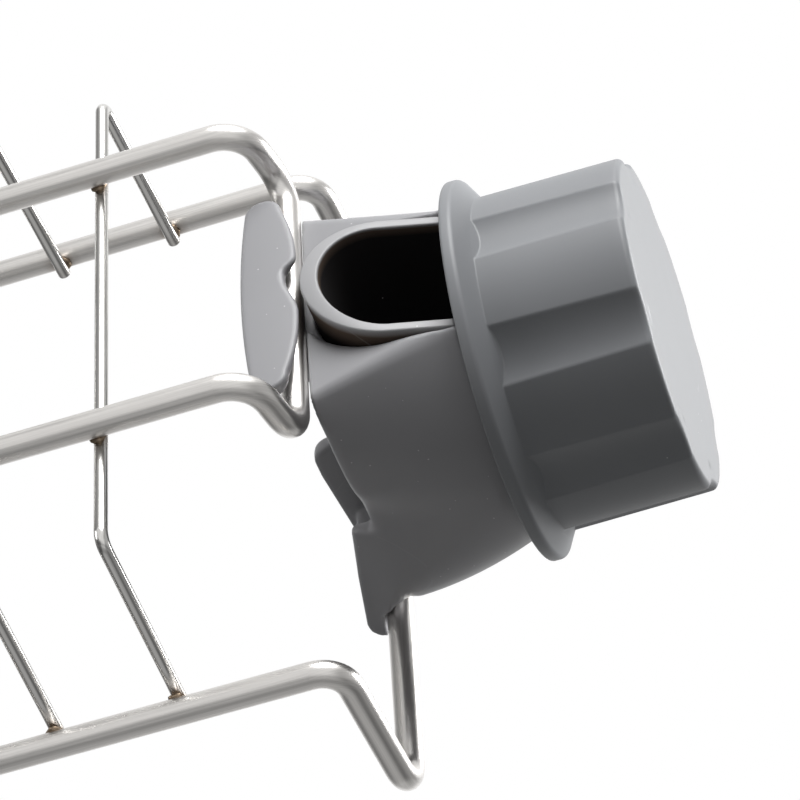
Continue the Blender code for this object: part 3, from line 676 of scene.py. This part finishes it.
def strapObject():
    # A point of the band = inner + (outer - inner) across, at height times the half height there, drawn
    # in by the edge's radius and put out again along the quarter circle.
    s, edge = strap, strap["edge"]
    run = np.linspace(s["end"], s["centre"], s["runSteps"] + 1)[:-1]
    a = np.linspace(math.pi / 2, math.pi * 3 / 2, s["bendSteps"])
    plans = []
    for radiusX, radiusY in (s["inner"], s["outer"]):
        px = np.concatenate([run, s["centre"] + radiusX * np.cos(a), run[::-1]])
        sides = np.full(len(run), radiusY)
        plans.append(np.stack([px, np.concatenate([sides, radiusY * np.sin(a), -sides])], -1))
    inner, outer = plans
    wall = np.linalg.norm(outer - inner, axis=1)[:, None]
    half = (s["endHalfHeight"] + s["slope"] * (s["end"] - outer[:, 0]))[:, None]
    across, height, awayAcross, awayHeight = wallSection(s["cornerSteps"], s["wallRows"])
    t = (edge * (1 - 2 * across) + wall * across + edge * awayAcross) / wall
    z = height * (half - edge) + edge * awayHeight
    plan = inner[:, None] + (outer - inner)[:, None] * t[..., None]
    grid = np.concatenate([plan, (shelf["axisZ"] + z)[..., None]], -1)
    # The shade value given to the band is painted shade: the band darkens with depth under the rim, quicker
    # on the inner wall.
    columns, deep = grid.shape[1], s["paintedShadeDepth"]
    innerFirst = 2 * s["cornerSteps"] - 1  # the inner wall's first and last column
    innerLast = innerFirst + len(s["wallRows"]) + 1
    outerFirst = innerLast + innerFirst
    number = np.arange(columns)
    quicker = np.where((number >= innerFirst) & (number <= innerLast), s["paintedShadeInside"], 1.0)
    depth = np.append(((half - np.abs(z)) * quicker).ravel(), (deep, deep))
    ends = np.array([grid[0].mean(0), grid[-1].mean(0)])
    band = gridObject("pipeStrap", grid, False, ends, None, np.clip(depth, 0, deep) / deep)
    # The inner and outer wall faces take the second material, which carries the same painted shade with
    # little gloss.
    column = np.append(np.tile(number, len(grid) - 1), np.zeros(2 * columns, int))
    paintedShadeFace = ((column >= innerFirst) & (column < innerLast)) | (column >= outerFirst)
    band.data.polygons.foreach_set("material_index", paintedShadeFace.astype(np.int32))
    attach(band, "strap")
    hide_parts("pipe_strap")
    return band


def armObject(side):
    # End view: flat inside, an arc outside whose radius dips with the thread, depth (1 - cos p) / 2 at
    # phase p = 2 pi (x / pitch - angle / 2 pi).
    s = strap
    along, over, across = s["armSteps"]
    x = np.linspace(*s["arm"], along)
    reach = math.asin(s["armHalf"] / s["armReach"])
    a = np.linspace(-reach, reach, over)
    flat = np.linspace(s["armHalf"], -s["armHalf"], across)[1:-1]
    xGrid, aGrid = np.meshgrid(x, a, indexing="ij")
    phase = 2 * math.pi * xGrid / s["pitch"] - side * aGrid
    present = easeStep(*s["threadIn"], xGrid) * (1 - easeStep(*s["threadOut"], xGrid))
    r = s["armRadius"] - s["threadDepth"] * (1 - np.cos(phase)) / 2 * present
    roundSide = np.stack([xGrid, side * r * np.cos(aGrid), shelf["axisZ"] + r * np.sin(aGrid)], -1)
    inside = np.broadcast_arrays(x[:, None], side * s["inner"][1], shelf["axisZ"] + flat[None])
    grid = np.concatenate([roundSide, np.stack(inside, -1)], 1)
    name = "strapArm" + ("Left" if side > 0 else "Right")
    arm = gridObject(name, grid, False, np.array([grid[0].mean(0), grid[-1].mean(0)]))
    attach(arm, "strap")
    return arm


strapPiece = strapObject()
armPieces = [armObject(side) for side in (1, -1)]
print("Strap done")


# Knob: a turned profile whose radius is cut back by eight hollow flutes.
knob = {
    "start": 62.6,
    "length": 32.6,
    "rootRadius": 31.8,
    "tipRadius": 31.5,
    "flangeRadius": 36.0,
    "rim": (0.6, 1.6, 1.2),  # radius of the flange's lower edge, height and radius of its upper one
    "rimStart": 55,  # degrees from the side at which the upper edge begins
    "flareStart": (35.49, 2.58),
    "flare": 4.9,
    "flareShare": 1.06,
    "fineFrom": 9.0,  # height under which the wall has finer steps
    "tipEdge": 1.3,
    "dome": 0.6,
    "hub": 0.4,  # radius of the smallest ring round the middle of each end
    "cavity": 28.6,
    "bore": 18.4,
    "sleeve": 21.4,
    "sleeveStart": 6.9,
    "sleeveEnd": 29.8,
    "skirt": (34.3, 1.5, 3.6),  # radius at the foot, thickness, height up to which it follows the flare
    "skirtFoot": (0.05, 0.1, 0.3),  # height of the foot, width and height of its slanted edge
    "flutes": 8,
    "fluteHalf": 5.5,
    "fluteDepth": 1.6,
    "fluteEnd": (0.04, 1.54),  # depth under the wall where the flare ends, and slope down the flare
    "fluteStop": (6, 0.5),  # steeper slope at the flute's very end, and how far up the flare it starts
    "fluteEdges": (0.15, 0.22, 0.3),  # roundness at the end, at the sides and over the tip
    "fluteSteps": (7, 14, 16, 14, 7),
    "fluteMargin": 1.6,  # degrees on both sides of a flute's edge that have the finest steps
    "tipZone": 4,  # width of the end face's rim that the flutes draw in
    "phase": -1.5,
}


def flareRadius(h):
    # Root radius + the flange's width times the share of the flare still to go, to a power just over one.
    k = knob
    r0, h0 = k["flareStart"]
    left = np.clip((k["flare"] - h) / (k["flare"] - h0), 0, 1)
    return k["rootRadius"] + (r0 - k["rootRadius"]) * left ** k["flareShare"]


def arcPoints(r, h, radius, angles):
    # Points at centre + radius (cos a, sin a), as radius and height.
    return np.stack([r + radius * np.cos(angles), h + radius * np.sin(angles)], -1)


def knobProfile():
    # Radius and height from the middle of the end face down the outside, over the flange's rim and back
    # up the inside to the axis. Every turn of the line is a short arc.
    k = knob
    flat, shoulder = k["tipRadius"] - k["tipEdge"], k["length"] - k["tipEdge"]
    r = np.linspace(k["hub"], flat, 26)[:-1]
    face = np.stack([r, k["length"] + k["dome"] * (1 - (r / flat) ** 2)], -1)
    edge = arcPoints(flat, shoulder, k["tipEdge"], np.linspace(math.pi / 2, 0, 9))
    h = [np.linspace(shoulder, k["fineFrom"], 16)[1:], np.linspace(k["fineFrom"], k["flare"], 28)[1:]]
    h = np.concatenate(h)
    taper = (h - k["flare"]) / (k["length"] - k["flare"])
    wall = np.stack([between((k["rootRadius"], k["tipRadius"]), taper), h], -1)
    h = np.linspace(k["flare"], k["flareStart"][1], 18)[1:]
    flare = np.stack([flareRadius(h), h], -1)
    lower, height, upper = k["rim"]
    turn = np.linspace(math.radians(k["rimStart"]), 0, 9)[1:]
    over = arcPoints(k["flangeRadius"] - upper, height, upper, turn)
    under = arcPoints(k["flangeRadius"] - lower, lower, lower, np.linspace(0, -math.pi / 2, 8))
    skirt, thin, deep = k["skirt"]
    foot, slant, slantHeight = k["skirtFoot"]
    cavity, sleeve, bore, top = k["cavity"], k["sleeve"], k["bore"], k["sleeveEnd"]
    inside = [
        (skirt, foot), (skirt - slant, slantHeight), (float(flareRadius(np.array(deep))) - thin, deep),
        (cavity, k["flare"]), (cavity, 12.0), (cavity, 20.0), (cavity, top), (sleeve, top), (sleeve, 20.0),
        (sleeve, k["sleeveStart"]), (bore, k["sleeveStart"]), (bore, 20.0), (bore, top), (9.0, top),
        (k["hub"], top),
    ]
    outside = np.concatenate([face, edge, wall, flare, over, under])
    return np.concatenate([outside, np.array(inside)]), len(outside)


def fluteAngles():
    # In each eighth of a turn the steps are fine across the flute's two edges and coarse elsewhere.
    k, end, margin = knob, 180.0 / knob["flutes"], knob["fluteMargin"]
    half = math.degrees(math.asin(k["fluteHalf"] / k["rootRadius"]))
    marks = [-end, -half - margin, -half + margin, half - margin, half + margin, end]
    steps = [np.linspace(a, b, n, endpoint=False) for a, b, n in zip(marks, marks[1:], k["fluteSteps"])]
    one = np.concatenate(steps)
    turns = np.arange(k["flutes"])[:, None] * 2 * end
    return np.radians((one[None] + turns).ravel()), np.radians(np.tile(one, k["flutes"]))


def knobObject():
    # Flute floor: a circle beside the axis seen at angle t, D cos t - sqrt(R^2 - D^2 sin^2 t). Down the
    # flare it moves outwards by the end slope. The surface is the smaller of wall and flute, and the end
    # face's rim is drawn in where the flutes meet it.
    k = knob
    profile, outside = knobProfile()
    turn, inEighth = fluteAngles()
    chord = math.sqrt(k["rootRadius"] ** 2 - k["fluteHalf"] ** 2)
    deep = k["fluteDepth"] - (k["rootRadius"] - chord)
    circle = (k["fluteHalf"] ** 2 + deep**2) / (2 * deep)
    middle = k["rootRadius"] - k["fluteDepth"] + circle
    within = circle**2 - (middle * np.sin(inEighth)) ** 2
    floor = np.where(within > 0, middle * np.cos(inEighth) - np.sqrt(np.maximum(within, 0)), 40.0)
    radius, height = profile[:, :1], profile[:, 1:]
    past = height - k["flare"]
    (drop, slope), (steep, early) = k["fluteEnd"], k["fluteStop"]
    climb = k["rootRadius"] - drop - slope * past + steep * np.maximum(-past - early, 0)
    endEdge, sideEdge, tipEdge = k["fluteEdges"]
    flute = smoothMax(floor[None] + 0 * height, climb, endEdge)
    cut = smoothMin(radius + 0 * flute, flute, sideEdge)
    face, tip = height >= k["length"] - k["tipEdge"], k["tipRadius"]
    drawn = radius * np.minimum(1, smoothMin(np.full_like(flute, tip), flute, tipEdge) / tip)
    r = np.where(face, np.where(face & (radius > tip - k["tipZone"]), drawn, radius), cut)
    r = np.where((np.arange(len(profile)) < outside)[:, None], r, radius)
    t = turn[None] + math.radians(k["phase"])
    x = k["start"] + height + 0 * r
    grid = np.stack([x, r * np.sin(t), shelf["axisZ"] - r * np.cos(t)], -1)
    middles = k["length"] + k["dome"], k["sleeveEnd"]
    poles = np.array([(k["start"] + h, 0, shelf["axisZ"]) for h in middles])
    obj = gridObject("clampKnob", grid, False, poles)
    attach(obj, "knob")
    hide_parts("clamp_knob")
    return obj


knobPiece = knobObject()
print("Knob done:", len(knobPiece.data.polygons), "faces")


def addNode(tree, kind, settings=None, **inputs):
    # One node with its settings, and its inputs by name: a number or colour, or another node's output.
    # The nodes of a tree lie in rows of six.
    row, column = divmod(len(tree.nodes), 6)
    node = tree.nodes.new(kind)
    node.location = 220 * column, -320 * row
    for key, value in (settings or {}).items():
        setattr(node, key, value)
    for key, value in inputs.items():
        socket = node.inputs[int(key[1:])] if key[0] == "i" and key[1:].isdigit() else node.inputs[key]
        if isinstance(value, bpy.types.NodeSocket):
            tree.links.new(value, socket)
        else:
            socket.default_value = value
    return node


def reckon(tree, operation, *values):
    # What one Math node makes of its numbers or other nodes' outputs.
    inputs = {f"i{index}": value for index, value in enumerate(values)}
    return addNode(tree, "ShaderNodeMath", {"operation": operation}, **inputs).outputs[0]


def dotProduct(tree, one, other):
    # The product of two directions' lengths and the cosine between them.
    settings = {"operation": "DOT_PRODUCT"}
    return addNode(tree, "ShaderNodeVectorMath", settings, i0=one, i1=other).outputs["Value"]


def blend(tree, share, low, high, kind="MIX"):
    # Low (1 - share) + high share, or low (1 - share) + low high share where the kind is a product.
    settings = {"data_type": "RGBA", "blend_type": kind}
    return addNode(tree, "ShaderNodeMix", settings, i0=share, i6=low, i7=high).outputs["Result"]


def noise(tree, where, scale, detail, roughness=0.5):
    # A smooth noise between 0 and 1, each finer layer weaker by the roughness.
    settings = {"Vector": where, "Scale": scale, "Detail": detail, "Roughness": roughness}
    return addNode(tree, "ShaderNodeTexNoise", **settings).outputs["Fac"]


def rampNode(tree, stops, socket):
    # A colour ramp through the stops, each a place and a grey or a colour.
    node = addNode(tree, "ShaderNodeValToRGB")
    tree.links.new(socket, node.inputs["Fac"])
    points = node.color_ramp.elements
    while len(points) < len(stops):
        points.new(0.5)
    for point, (where, tone) in zip(points, stops):
        point.position, point.color = where, (*np.broadcast_to(tone, 3).tolist(), 1)
    return node.outputs["Color"]


def newGroup(name, inputs, outputs):
    # An empty shader group with named sockets, whose kinds follow from their names.
    tree = bpy.data.node_groups.new(name, "ShaderNodeTree")
    kinds = {"Vector": "Vector", "Color": "Color", "Tint": "Color"}
    for way, socketNames in (("INPUT", inputs), ("OUTPUT", outputs)):
        for socketName in socketNames:
            kind = "NodeSocket" + kinds.get(socketName, "Float")
            tree.interface.new_socket(socketName, in_out=way, socket_type=kind)
    return tree, tree.nodes.new("NodeGroupInput").outputs, tree.nodes.new("NodeGroupOutput")


def putOut(tree, end, **results):
    # Links each result to the group's output of that name, and gives back the group.
    for name, result in results.items():
        tree.links.new(result, end.inputs[name])
    return tree


def mouldedGrainGroup():
    # Moulded plastic: slow clouds that shift the colour a little, and a fine grain for bump and gloss.
    inputs = ("Vector", "Color", "Cloud Scale", "Cloud Strength", "Grain Scale", "Gloss")
    tree, put, end = newGroup("mouldedGrain", inputs, ("Color", "Roughness", "Height"))
    cloud = noise(tree, put["Vector"], put["Cloud Scale"], 3.0)
    grain = noise(tree, put["Vector"], put["Grain Scale"], 2.0)
    shift = reckon(tree, "SUBTRACT", cloud, 0.5)
    scaled = reckon(tree, "MULTIPLY", shift, put["Cloud Strength"])
    bright = reckon(tree, "ADD", scaled, 1.0)
    settings = {"operation": "SCALE"}
    colour = addNode(tree, "ShaderNodeVectorMath", settings, i0=put["Color"], Scale=bright)
    rough = reckon(tree, "MULTIPLY_ADD", shift, 0.16, put["Gloss"])
    fine = reckon(tree, "MULTIPLY_ADD", grain, 0.05, rough)
    return putOut(tree, end, Color=colour.outputs[0], Roughness=fine, Height=grain)


def flecksGroup():
    # Sparse bright specks: close to a cell's point, and only in the cells whose random value is high.
    tree, put, end = newGroup("flecks", ("Vector", "Scale", "Size", "Share"), ("Mask",))
    cells = addNode(tree, "ShaderNodeTexVoronoi", Vector=put["Vector"], Scale=put["Scale"])
    close = reckon(tree, "LESS_THAN", cells.outputs["Distance"], put["Size"])
    split = addNode(tree, "ShaderNodeSeparateColor", i0=cells.outputs["Color"])
    rare = reckon(tree, "GREATER_THAN", split.outputs[0], put["Share"])
    return putOut(tree, end, Mask=reckon(tree, "MULTIPLY", close, rare))


def drawnLinesGroup():
    # Drawn wire: noise stretched along the wire by the UV map, plus the brown tint of the weld's heat.
    inputs = ("Vector", "Color", "Tint", "Lines", "Gloss", "Heat")
    tree, put, end = newGroup("drawnLines", inputs, ("Color", "Roughness", "Height"))
    split = addNode(tree, "ShaderNodeSeparateXYZ", i0=put["Vector"]).outputs
    around = reckon(tree, "MULTIPLY", split[0], put["Lines"])
    along = reckon(tree, "MULTIPLY", split[1], 0.035)
    place = addNode(tree, "ShaderNodeCombineXYZ", i0=around, i1=along)
    lines = noise(tree, place.outputs[0], 1.0, 4.0, 0.62)
    patchAt = addNode(tree, "ShaderNodeCombineXYZ", i0=split[0], i1=along)
    patch = noise(tree, patchAt.outputs[0], 4.0, 2.0)
    limits = {"From Min": 0.3, "From Max": 0.7, "To Min": 0.86, "To Max": 1.06}
    level = addNode(tree, "ShaderNodeMapRange", Value=lines, **limits).outputs[0]
    toned = addNode(tree, "ShaderNodeVectorMath", {"operation": "SCALE"}, i0=put["Color"], Scale=level)
    hot = blend(tree, put["Heat"], toned.outputs[0], put["Tint"])
    rough = reckon(tree, "MULTIPLY_ADD", patch, 0.12, put["Gloss"])
    worn = reckon(tree, "MULTIPLY_ADD", put["Heat"], 0.25, rough)
    return putOut(tree, end, Color=hot, Roughness=worn, Height=lines)


def hairlinesGroup():
    # Handling marks: the thin lines along which a slow noise passes one value, broken up by another.
    tree, put, end = newGroup("hairlines", ("Vector", "Scale", "Width", "Share"), ("Mask",))
    slow = noise(tree, put["Vector"], put["Scale"], 1.0)
    off = reckon(tree, "SUBTRACT", slow, 0.5)
    closeBy = reckon(tree, "ABSOLUTE", off)
    line = reckon(tree, "LESS_THAN", closeBy, put["Width"])
    other = noise(tree, put["Vector"], 90.0, 0.0)
    kept = reckon(tree, "GREATER_THAN", other, put["Share"])
    return putOut(tree, end, Mask=reckon(tree, "MULTIPLY", line, kept))


groups = {
    "grain": mouldedGrainGroup(),
    "flecks": flecksGroup(),
    "lines": drawnLinesGroup(),
    "marks": hairlinesGroup(),
}


def groupNode(tree, group, inputs):
    # One of the groups above, and what it puts out.
    return addNode(tree, "ShaderNodeGroup", {"node_tree": groups[group]}, **inputs).outputs


def newMaterial(name):
    # A material with its node tree and its Principled shader.
    material = bpy.data.materials.new(name)
    material.use_nodes = True
    shader = material.node_tree.nodes["Principled BSDF"]
    return material, material.node_tree, shader


def dress(tree, shader, colour, roughness, height, strength):
    # Colour and roughness go to the shader as they are, and the height as a bump of a fiftieth of a
    # millimetre.
    bump = addNode(tree, "ShaderNodeBump", Strength=strength, Distance=0.00002, Height=height)
    tree.links.new(colour, shader.inputs["Base Color"])
    tree.links.new(roughness, shader.inputs["Roughness"])
    tree.links.new(bump.outputs["Normal"], shader.inputs["Normal"])


# What the three plastics share: size and tone of the specks, width, strength and tone of the marks.
plastic = {
    "fleckScale": 400.0,
    "fleckSize": 0.06,
    "fleckTone": (0.62, 0.62, 0.63, 1),
    "markWidth": 0.0035,
    "markStrength": 0.12,
    "markTone": (0.55, 0.55, 0.56, 1),
    "refraction": 1.5,
}
finishes = {
    "heat": (0.16, 0.1, 0.055, 1),
    "rail": {"colour": (0.76, 0.74, 0.715), "lines": 60.0, "gloss": 0.24, "bump": 0.25},
    "cross": {"colour": (0.74, 0.73, 0.71), "lines": 34.0, "gloss": 0.14, "bump": 0.15},
    "bead": {"low": (0.09, 0.055, 0.03, 1), "high": (0.5, 0.4, 0.3, 1), "scale": 900.0, "gloss": 0.42},
    "body": {
        "colour": (0.35, 0.35, 0.365), "cloud": 0.1, "cloudScale": 40.0, "grainScale": 2600.0,
        "gloss": 0.42, "bump": 0.08, "specular": 0.5, "fleckShare": 0.4, "markScale": 26.0,
        "markShare": 0.58,
    },
    "strap": {
        "colour": (0.38, 0.38, 0.39), "cloud": 0.1, "cloudScale": 50.0, "grainScale": 2600.0,
        "gloss": 0.4, "bump": 0.1, "specular": 0.5, "fleckShare": 0.8, "markScale": 30.0,
        "markShare": 0.62,
        # Painted shade: by depth under the rim the strap's colour goes from its own tone to brown and then
        # nearly black.
        "depth": [
            (0.0, (1, 1, 1)), (0.03, (0.95, 0.93, 0.91)), (0.09, (0.34, 0.25, 0.19)),
            (0.3, (0.06, 0.055, 0.055)),
        ],
    },
    "knob": {
        "colour": (0.25, 0.258, 0.272), "cloud": 0.08, "cloudScale": 30.0, "grainScale": 2400.0,
        "gloss": 0.46, "bump": 0.12, "specular": 0.55, "fleckShare": 0.985, "markScale": 22.0,
        "markShare": 0.72,
    },
}
# A copy for the strap's wall faces: the same painted shade, with a weak, blurred reflection so that they
# stay dark.
finishes["walls"] = dict(finishes["strap"], specular=0.06, gloss=0.75)


def plasticMaterial(name, finish, shaded=False):
    # The grain's colour, times a ramp of the mesh's shade where it is shaded: painted shade that turns brown
    # and then nearly black with depth, with marks and specks blended in.
    material, tree, shader = newMaterial(name)
    where = addNode(tree, "ShaderNodeTexCoord").outputs["Object"]
    grain = groupNode(tree, "grain", {
        "Vector": where, "Color": (*finish["colour"], 1), "Cloud Scale": finish["cloudScale"],
        "Cloud Strength": finish["cloud"], "Grain Scale": finish["grainScale"], "Gloss": finish["gloss"],
    })
    specks = groupNode(tree, "flecks", {
        "Vector": where, "Scale": plastic["fleckScale"], "Size": plastic["fleckSize"],
        "Share": finish["fleckShare"],
    })
    marks = groupNode(tree, "marks", {
        "Vector": where, "Scale": finish["markScale"], "Width": plastic["markWidth"],
        "Share": finish["markShare"],
    })
    colour = grain["Color"]
    if shaded:
        # Painted shade, read from the mesh's shade value.
        depth = addNode(tree, "ShaderNodeAttribute", {"attribute_name": "shade"}).outputs["Fac"]
        ramp = rampNode(tree, finish["depth"], depth)
        colour = blend(tree, 1.0, colour, ramp, "MULTIPLY")
    soft = reckon(tree, "MULTIPLY", marks["Mask"], plastic["markStrength"])
    marked = blend(tree, soft, colour, plastic["markTone"])
    mixed = blend(tree, specks["Mask"], marked, plastic["fleckTone"])
    dress(tree, shader, mixed, grain["Roughness"], grain["Height"], finish["bump"])
    shader.inputs["IOR"].default_value = plastic["refraction"]
    shader.inputs["Specular IOR Level"].default_value = finish["specular"]
    return material


def steelMaterial(name, finish):
    # The drawn lines along the wire, tinted by the heat that the mesh carries as its shade.
    material, tree, shader = newMaterial(name)
    where = addNode(tree, "ShaderNodeUVMap", {"uv_map": "along"}).outputs["UV"]
    heat = addNode(tree, "ShaderNodeAttribute", {"attribute_name": "shade"}).outputs["Fac"]
    lines = groupNode(tree, "lines", {
        "Vector": where, "Color": (*finish["colour"], 1), "Tint": finishes["heat"],
        "Lines": finish["lines"], "Gloss": finish["gloss"], "Heat": heat,
    })
    dress(tree, shader, lines["Color"], lines["Roughness"], lines["Height"], finish["bump"])
    shader.inputs["Metallic"].default_value = 1.0
    return material


def beadMaterial(name, finish):
    # Burnt steel between a low and a high tone, by one noise that also gives the bump.
    material, tree, shader = newMaterial(name)
    where = addNode(tree, "ShaderNodeTexCoord").outputs["Object"]
    rough = noise(tree, where, finish["scale"], 3.0)
    colour = blend(tree, rough, finish["low"], finish["high"])
    bump = addNode(tree, "ShaderNodeBump", Strength=0.5, Distance=0.0001, Height=rough)
    tree.links.new(colour, shader.inputs["Base Color"])
    tree.links.new(bump.outputs["Normal"], shader.inputs["Normal"])
    shader.inputs["Metallic"].default_value = 1.0
    shader.inputs["Roughness"].default_value = finish["gloss"]
    return material


railSteel = steelMaterial("railSteel", finishes["rail"])
crossSteel = steelMaterial("crossSteel", finishes["cross"])
armPlastic = plasticMaterial("armPlastic", finishes["strap"])
coats = [(rimWire, railSteel), (floorWire, railSteel)]
coats += [(weldBead, beadMaterial("beadSteel", finishes["bead"]))]
coats += [(wire, crossSteel) for wire in crossWires]
coats += [(bodyPiece, plasticMaterial("bodyPlastic", finishes["body"]))]
# Both strap materials carry the painted shade; the second goes on the wall faces.
coats += [(strapPiece, plasticMaterial("strapPlastic", finishes["strap"], True))]
coats += [(strapPiece, plasticMaterial("strapWallsPaintedShade", finishes["walls"], True))]
coats += [(arm, armPlastic) for arm in armPieces]
coats += [(knobPiece, plasticMaterial("knobPlastic", finishes["knob"]))]
for piece, material in coats:
    piece.data.materials.append(material)
print("Materials done")


# Camera: below the basket, looking up at its floor, at the photograph's angle.
view = {
    "place": (0.27790157, 0.60859400, -0.48654596),
    "right": (0.94597229, 0.04725659, 0.32078534),
    "down": (-0.26787119, 0.67135759, 0.69103112),
    "forward": (-0.18270591, -0.73962544, 0.64774436),
    "lens": 201.477,
    "sensor": 36.0,
    "clip": (0.01, 100.0),
    "target": (0.135, 0.0, 0.045),
}
# The picture's own axes: right, up and towards the viewer.
picture = np.array([view["right"], -np.array(view["down"]), -np.array(view["forward"])])


def placeObject(name, data, axes, place):
    # The object's matrix holds its three axes as columns, and then its place.
    matrix = np.eye(4)
    matrix[:3, :3], matrix[:3, 3] = np.array(axes).T, place
    obj = bpy.data.objects.new(name, data)
    obj.matrix_world = Matrix(matrix.tolist())
    scene.collection.objects.link(obj)
    return obj


def cameraObject():
    # A camera looks down its own third axis backwards, so that the picture's axes are its own.
    data = bpy.data.cameras.new("photoCamera")
    data.sensor_width, data.lens = view["sensor"], view["lens"]
    data.clip_start, data.clip_end = view["clip"]
    return placeObject("photoCamera", data, picture, view["place"])


scene.camera = cameraObject()

# Light: soft boxes given by their way from the object in the picture's own terms, so many parts right,
# up and towards the viewer.
lamps = {
    "top": {"way": (0.05, 1.0, 0.05), "distance": 1.2, "size": 0.9, "power": 17.0},
    "right": {"way": (1.0, 0.25, -0.55), "distance": 1.2, "size": 0.7, "power": 13.5},
    "left": {"way": (-1.0, 0.2, 0.05), "distance": 1.3, "size": 0.7, "power": 3.0},
    "over": {"way": (0.32, -0.69, -0.65), "distance": 1.5, "size": 1.8, "power": 2.0},
}


def lampObject(name, lamp):
    # Place = target + way times distance. The lamp shines back along the way.
    way = unit(np.array(lamp["way"]) @ picture)
    data = bpy.data.lights.new(name, "AREA")
    data.shape, data.size, data.energy = "DISK", lamp["size"], lamp["power"]
    side = unit(np.cross(way, (0.31, 0.2, 0.93)))
    place = np.array(view["target"]) + way * lamp["distance"]
    obj = placeObject(name, data, [side, np.cross(way, side), way], place)
    obj.visible_camera = False


for lampName, lamp in lamps.items():
    lampObject(lampName + "Box", lamp)

# World: white to the camera. What metal and plastic mirror is the same white room with darker bands,
# laid out by the angle from the picture's up; the light that it gives follows the same angle.
room = {
    "bands": [
        (0.0, 0.46), (0.095, 0.26), (0.2, 0.36), (0.3, 0.66), (0.375, 0.3), (0.455, 0.8), (0.6, 0.96),
        (0.72, 0.84), (0.84, 1.0), (1.0, 1.0),
    ],
    "light": [(0.0, 0.1), (0.35, 0.115), (0.6, 0.24), (1.0, 0.3)],
    "sides": [(0.0, 0.2), (0.22, 0.36), (0.34, 1.0), (0.68, 1.0), (0.82, 0.45), (1.0, 0.6)],
    "behind": (0.7, 0.95),  # share towards the backdrop where it starts to show white, and is white
    "white": (1, 1, 1, 1),
}


def mirroredRay(tree, path):
    # One for a ray off a mirroring surface or through a clear one.
    return reckon(tree, "MAXIMUM", path["Is Glossy Ray"], path["Is Transmission Ray"])


def whiteRoom():
    # How far up a direction points = its dot product with the picture's up, moved from -1..1 to 0..1.
    world = bpy.data.worlds.new("whiteRoom")
    world.use_nodes = True
    tree = world.node_tree
    tree.nodes.clear()
    way = addNode(tree, "ShaderNodeTexCoord").outputs["Generated"]
    dot = dotProduct(tree, way, tuple(picture[1]))
    height = reckon(tree, "MULTIPLY_ADD", dot, 0.5, 0.5)
    bands = rampNode(tree, room["bands"], height)
    light = rampNode(tree, room["light"], height)
    depth = dotProduct(tree, way, view["forward"])
    across = dotProduct(tree, way, view["right"])
    rightward = reckon(tree, "MULTIPLY_ADD", across, 0.5, 0.5)
    sides = rampNode(tree, room["sides"], rightward)
    banded = addNode(tree, "ShaderNodeVectorMath", {"operation": "MULTIPLY"}, i0=bands, i1=sides)
    behind = addNode(tree, "ShaderNodeMapRange", {"interpolation_type": "SMOOTHSTEP"}, Value=depth)
    behind.inputs["From Min"].default_value, behind.inputs["From Max"].default_value = room["behind"]
    mirror = blend(tree, behind.outputs[0], banded.outputs[0], room["white"])
    path = addNode(tree, "ShaderNodeLightPath").outputs
    seen = blend(tree, mirroredRay(tree, path), light, mirror)
    final = blend(tree, path["Is Camera Ray"], seen, room["white"])
    back = addNode(tree, "ShaderNodeBackground", Color=final, Strength=1.0)
    out = addNode(tree, "ShaderNodeOutputWorld")
    tree.links.new(back.outputs[0], out.inputs["Surface"])
    scene.world = world


whiteRoom()

paleFloor = {
    "half": 2.2,
    "height": -2.9,
    "low": (0.93, 0.93, 0.93, 1),
    "high": (0.96, 0.96, 0.96, 1),
    "roughness": 0.8,
    "glow": 0.88,  # how much of what is looked at or mirrored is its own tone
}


def floorObject():
    # A pale floor well under the camera, which stands below the shelf. Where it is looked at or mirrored
    # it shows mostly its own pale tone, and the rest is lit and shaded like any floor.
    f = paleFloor
    mesh = bpy.data.meshes.new("floor")
    corners = [(f["half"] * x, f["half"] * y, f["height"]) for x, y in ((-1, -1), (1, -1), (1, 1), (-1, 1))]
    mesh.from_pydata(corners, [], [(0, 1, 2, 3)])
    obj = bpy.data.objects.new("floor", mesh)
    scene.collection.objects.link(obj)
    material, tree, shader = newMaterial("paleFloor")
    where = addNode(tree, "ShaderNodeTexCoord").outputs["Object"]
    colour = blend(tree, noise(tree, where, 1.5, 2.0), f["low"], f["high"])
    tree.links.new(colour, shader.inputs["Base Color"])
    shader.inputs["Roughness"].default_value = f["roughness"]
    path = addNode(tree, "ShaderNodeLightPath").outputs
    seen = reckon(tree, "MAXIMUM", path["Is Camera Ray"], mirroredRay(tree, path))
    share = reckon(tree, "MULTIPLY", seen, f["glow"])
    glow = addNode(tree, "ShaderNodeEmission", Color=(1, 1, 1, 1), Strength=1.0).outputs[0]
    both = addNode(tree, "ShaderNodeMixShader", i0=share, i1=shader.outputs[0], i2=glow)
    tree.links.new(both.outputs[0], tree.nodes["Material Output"].inputs["Surface"])
    mesh.materials.append(material)


floorObject()
scene.view_settings.view_transform = "Standard"
print("Camera, light and floor done")
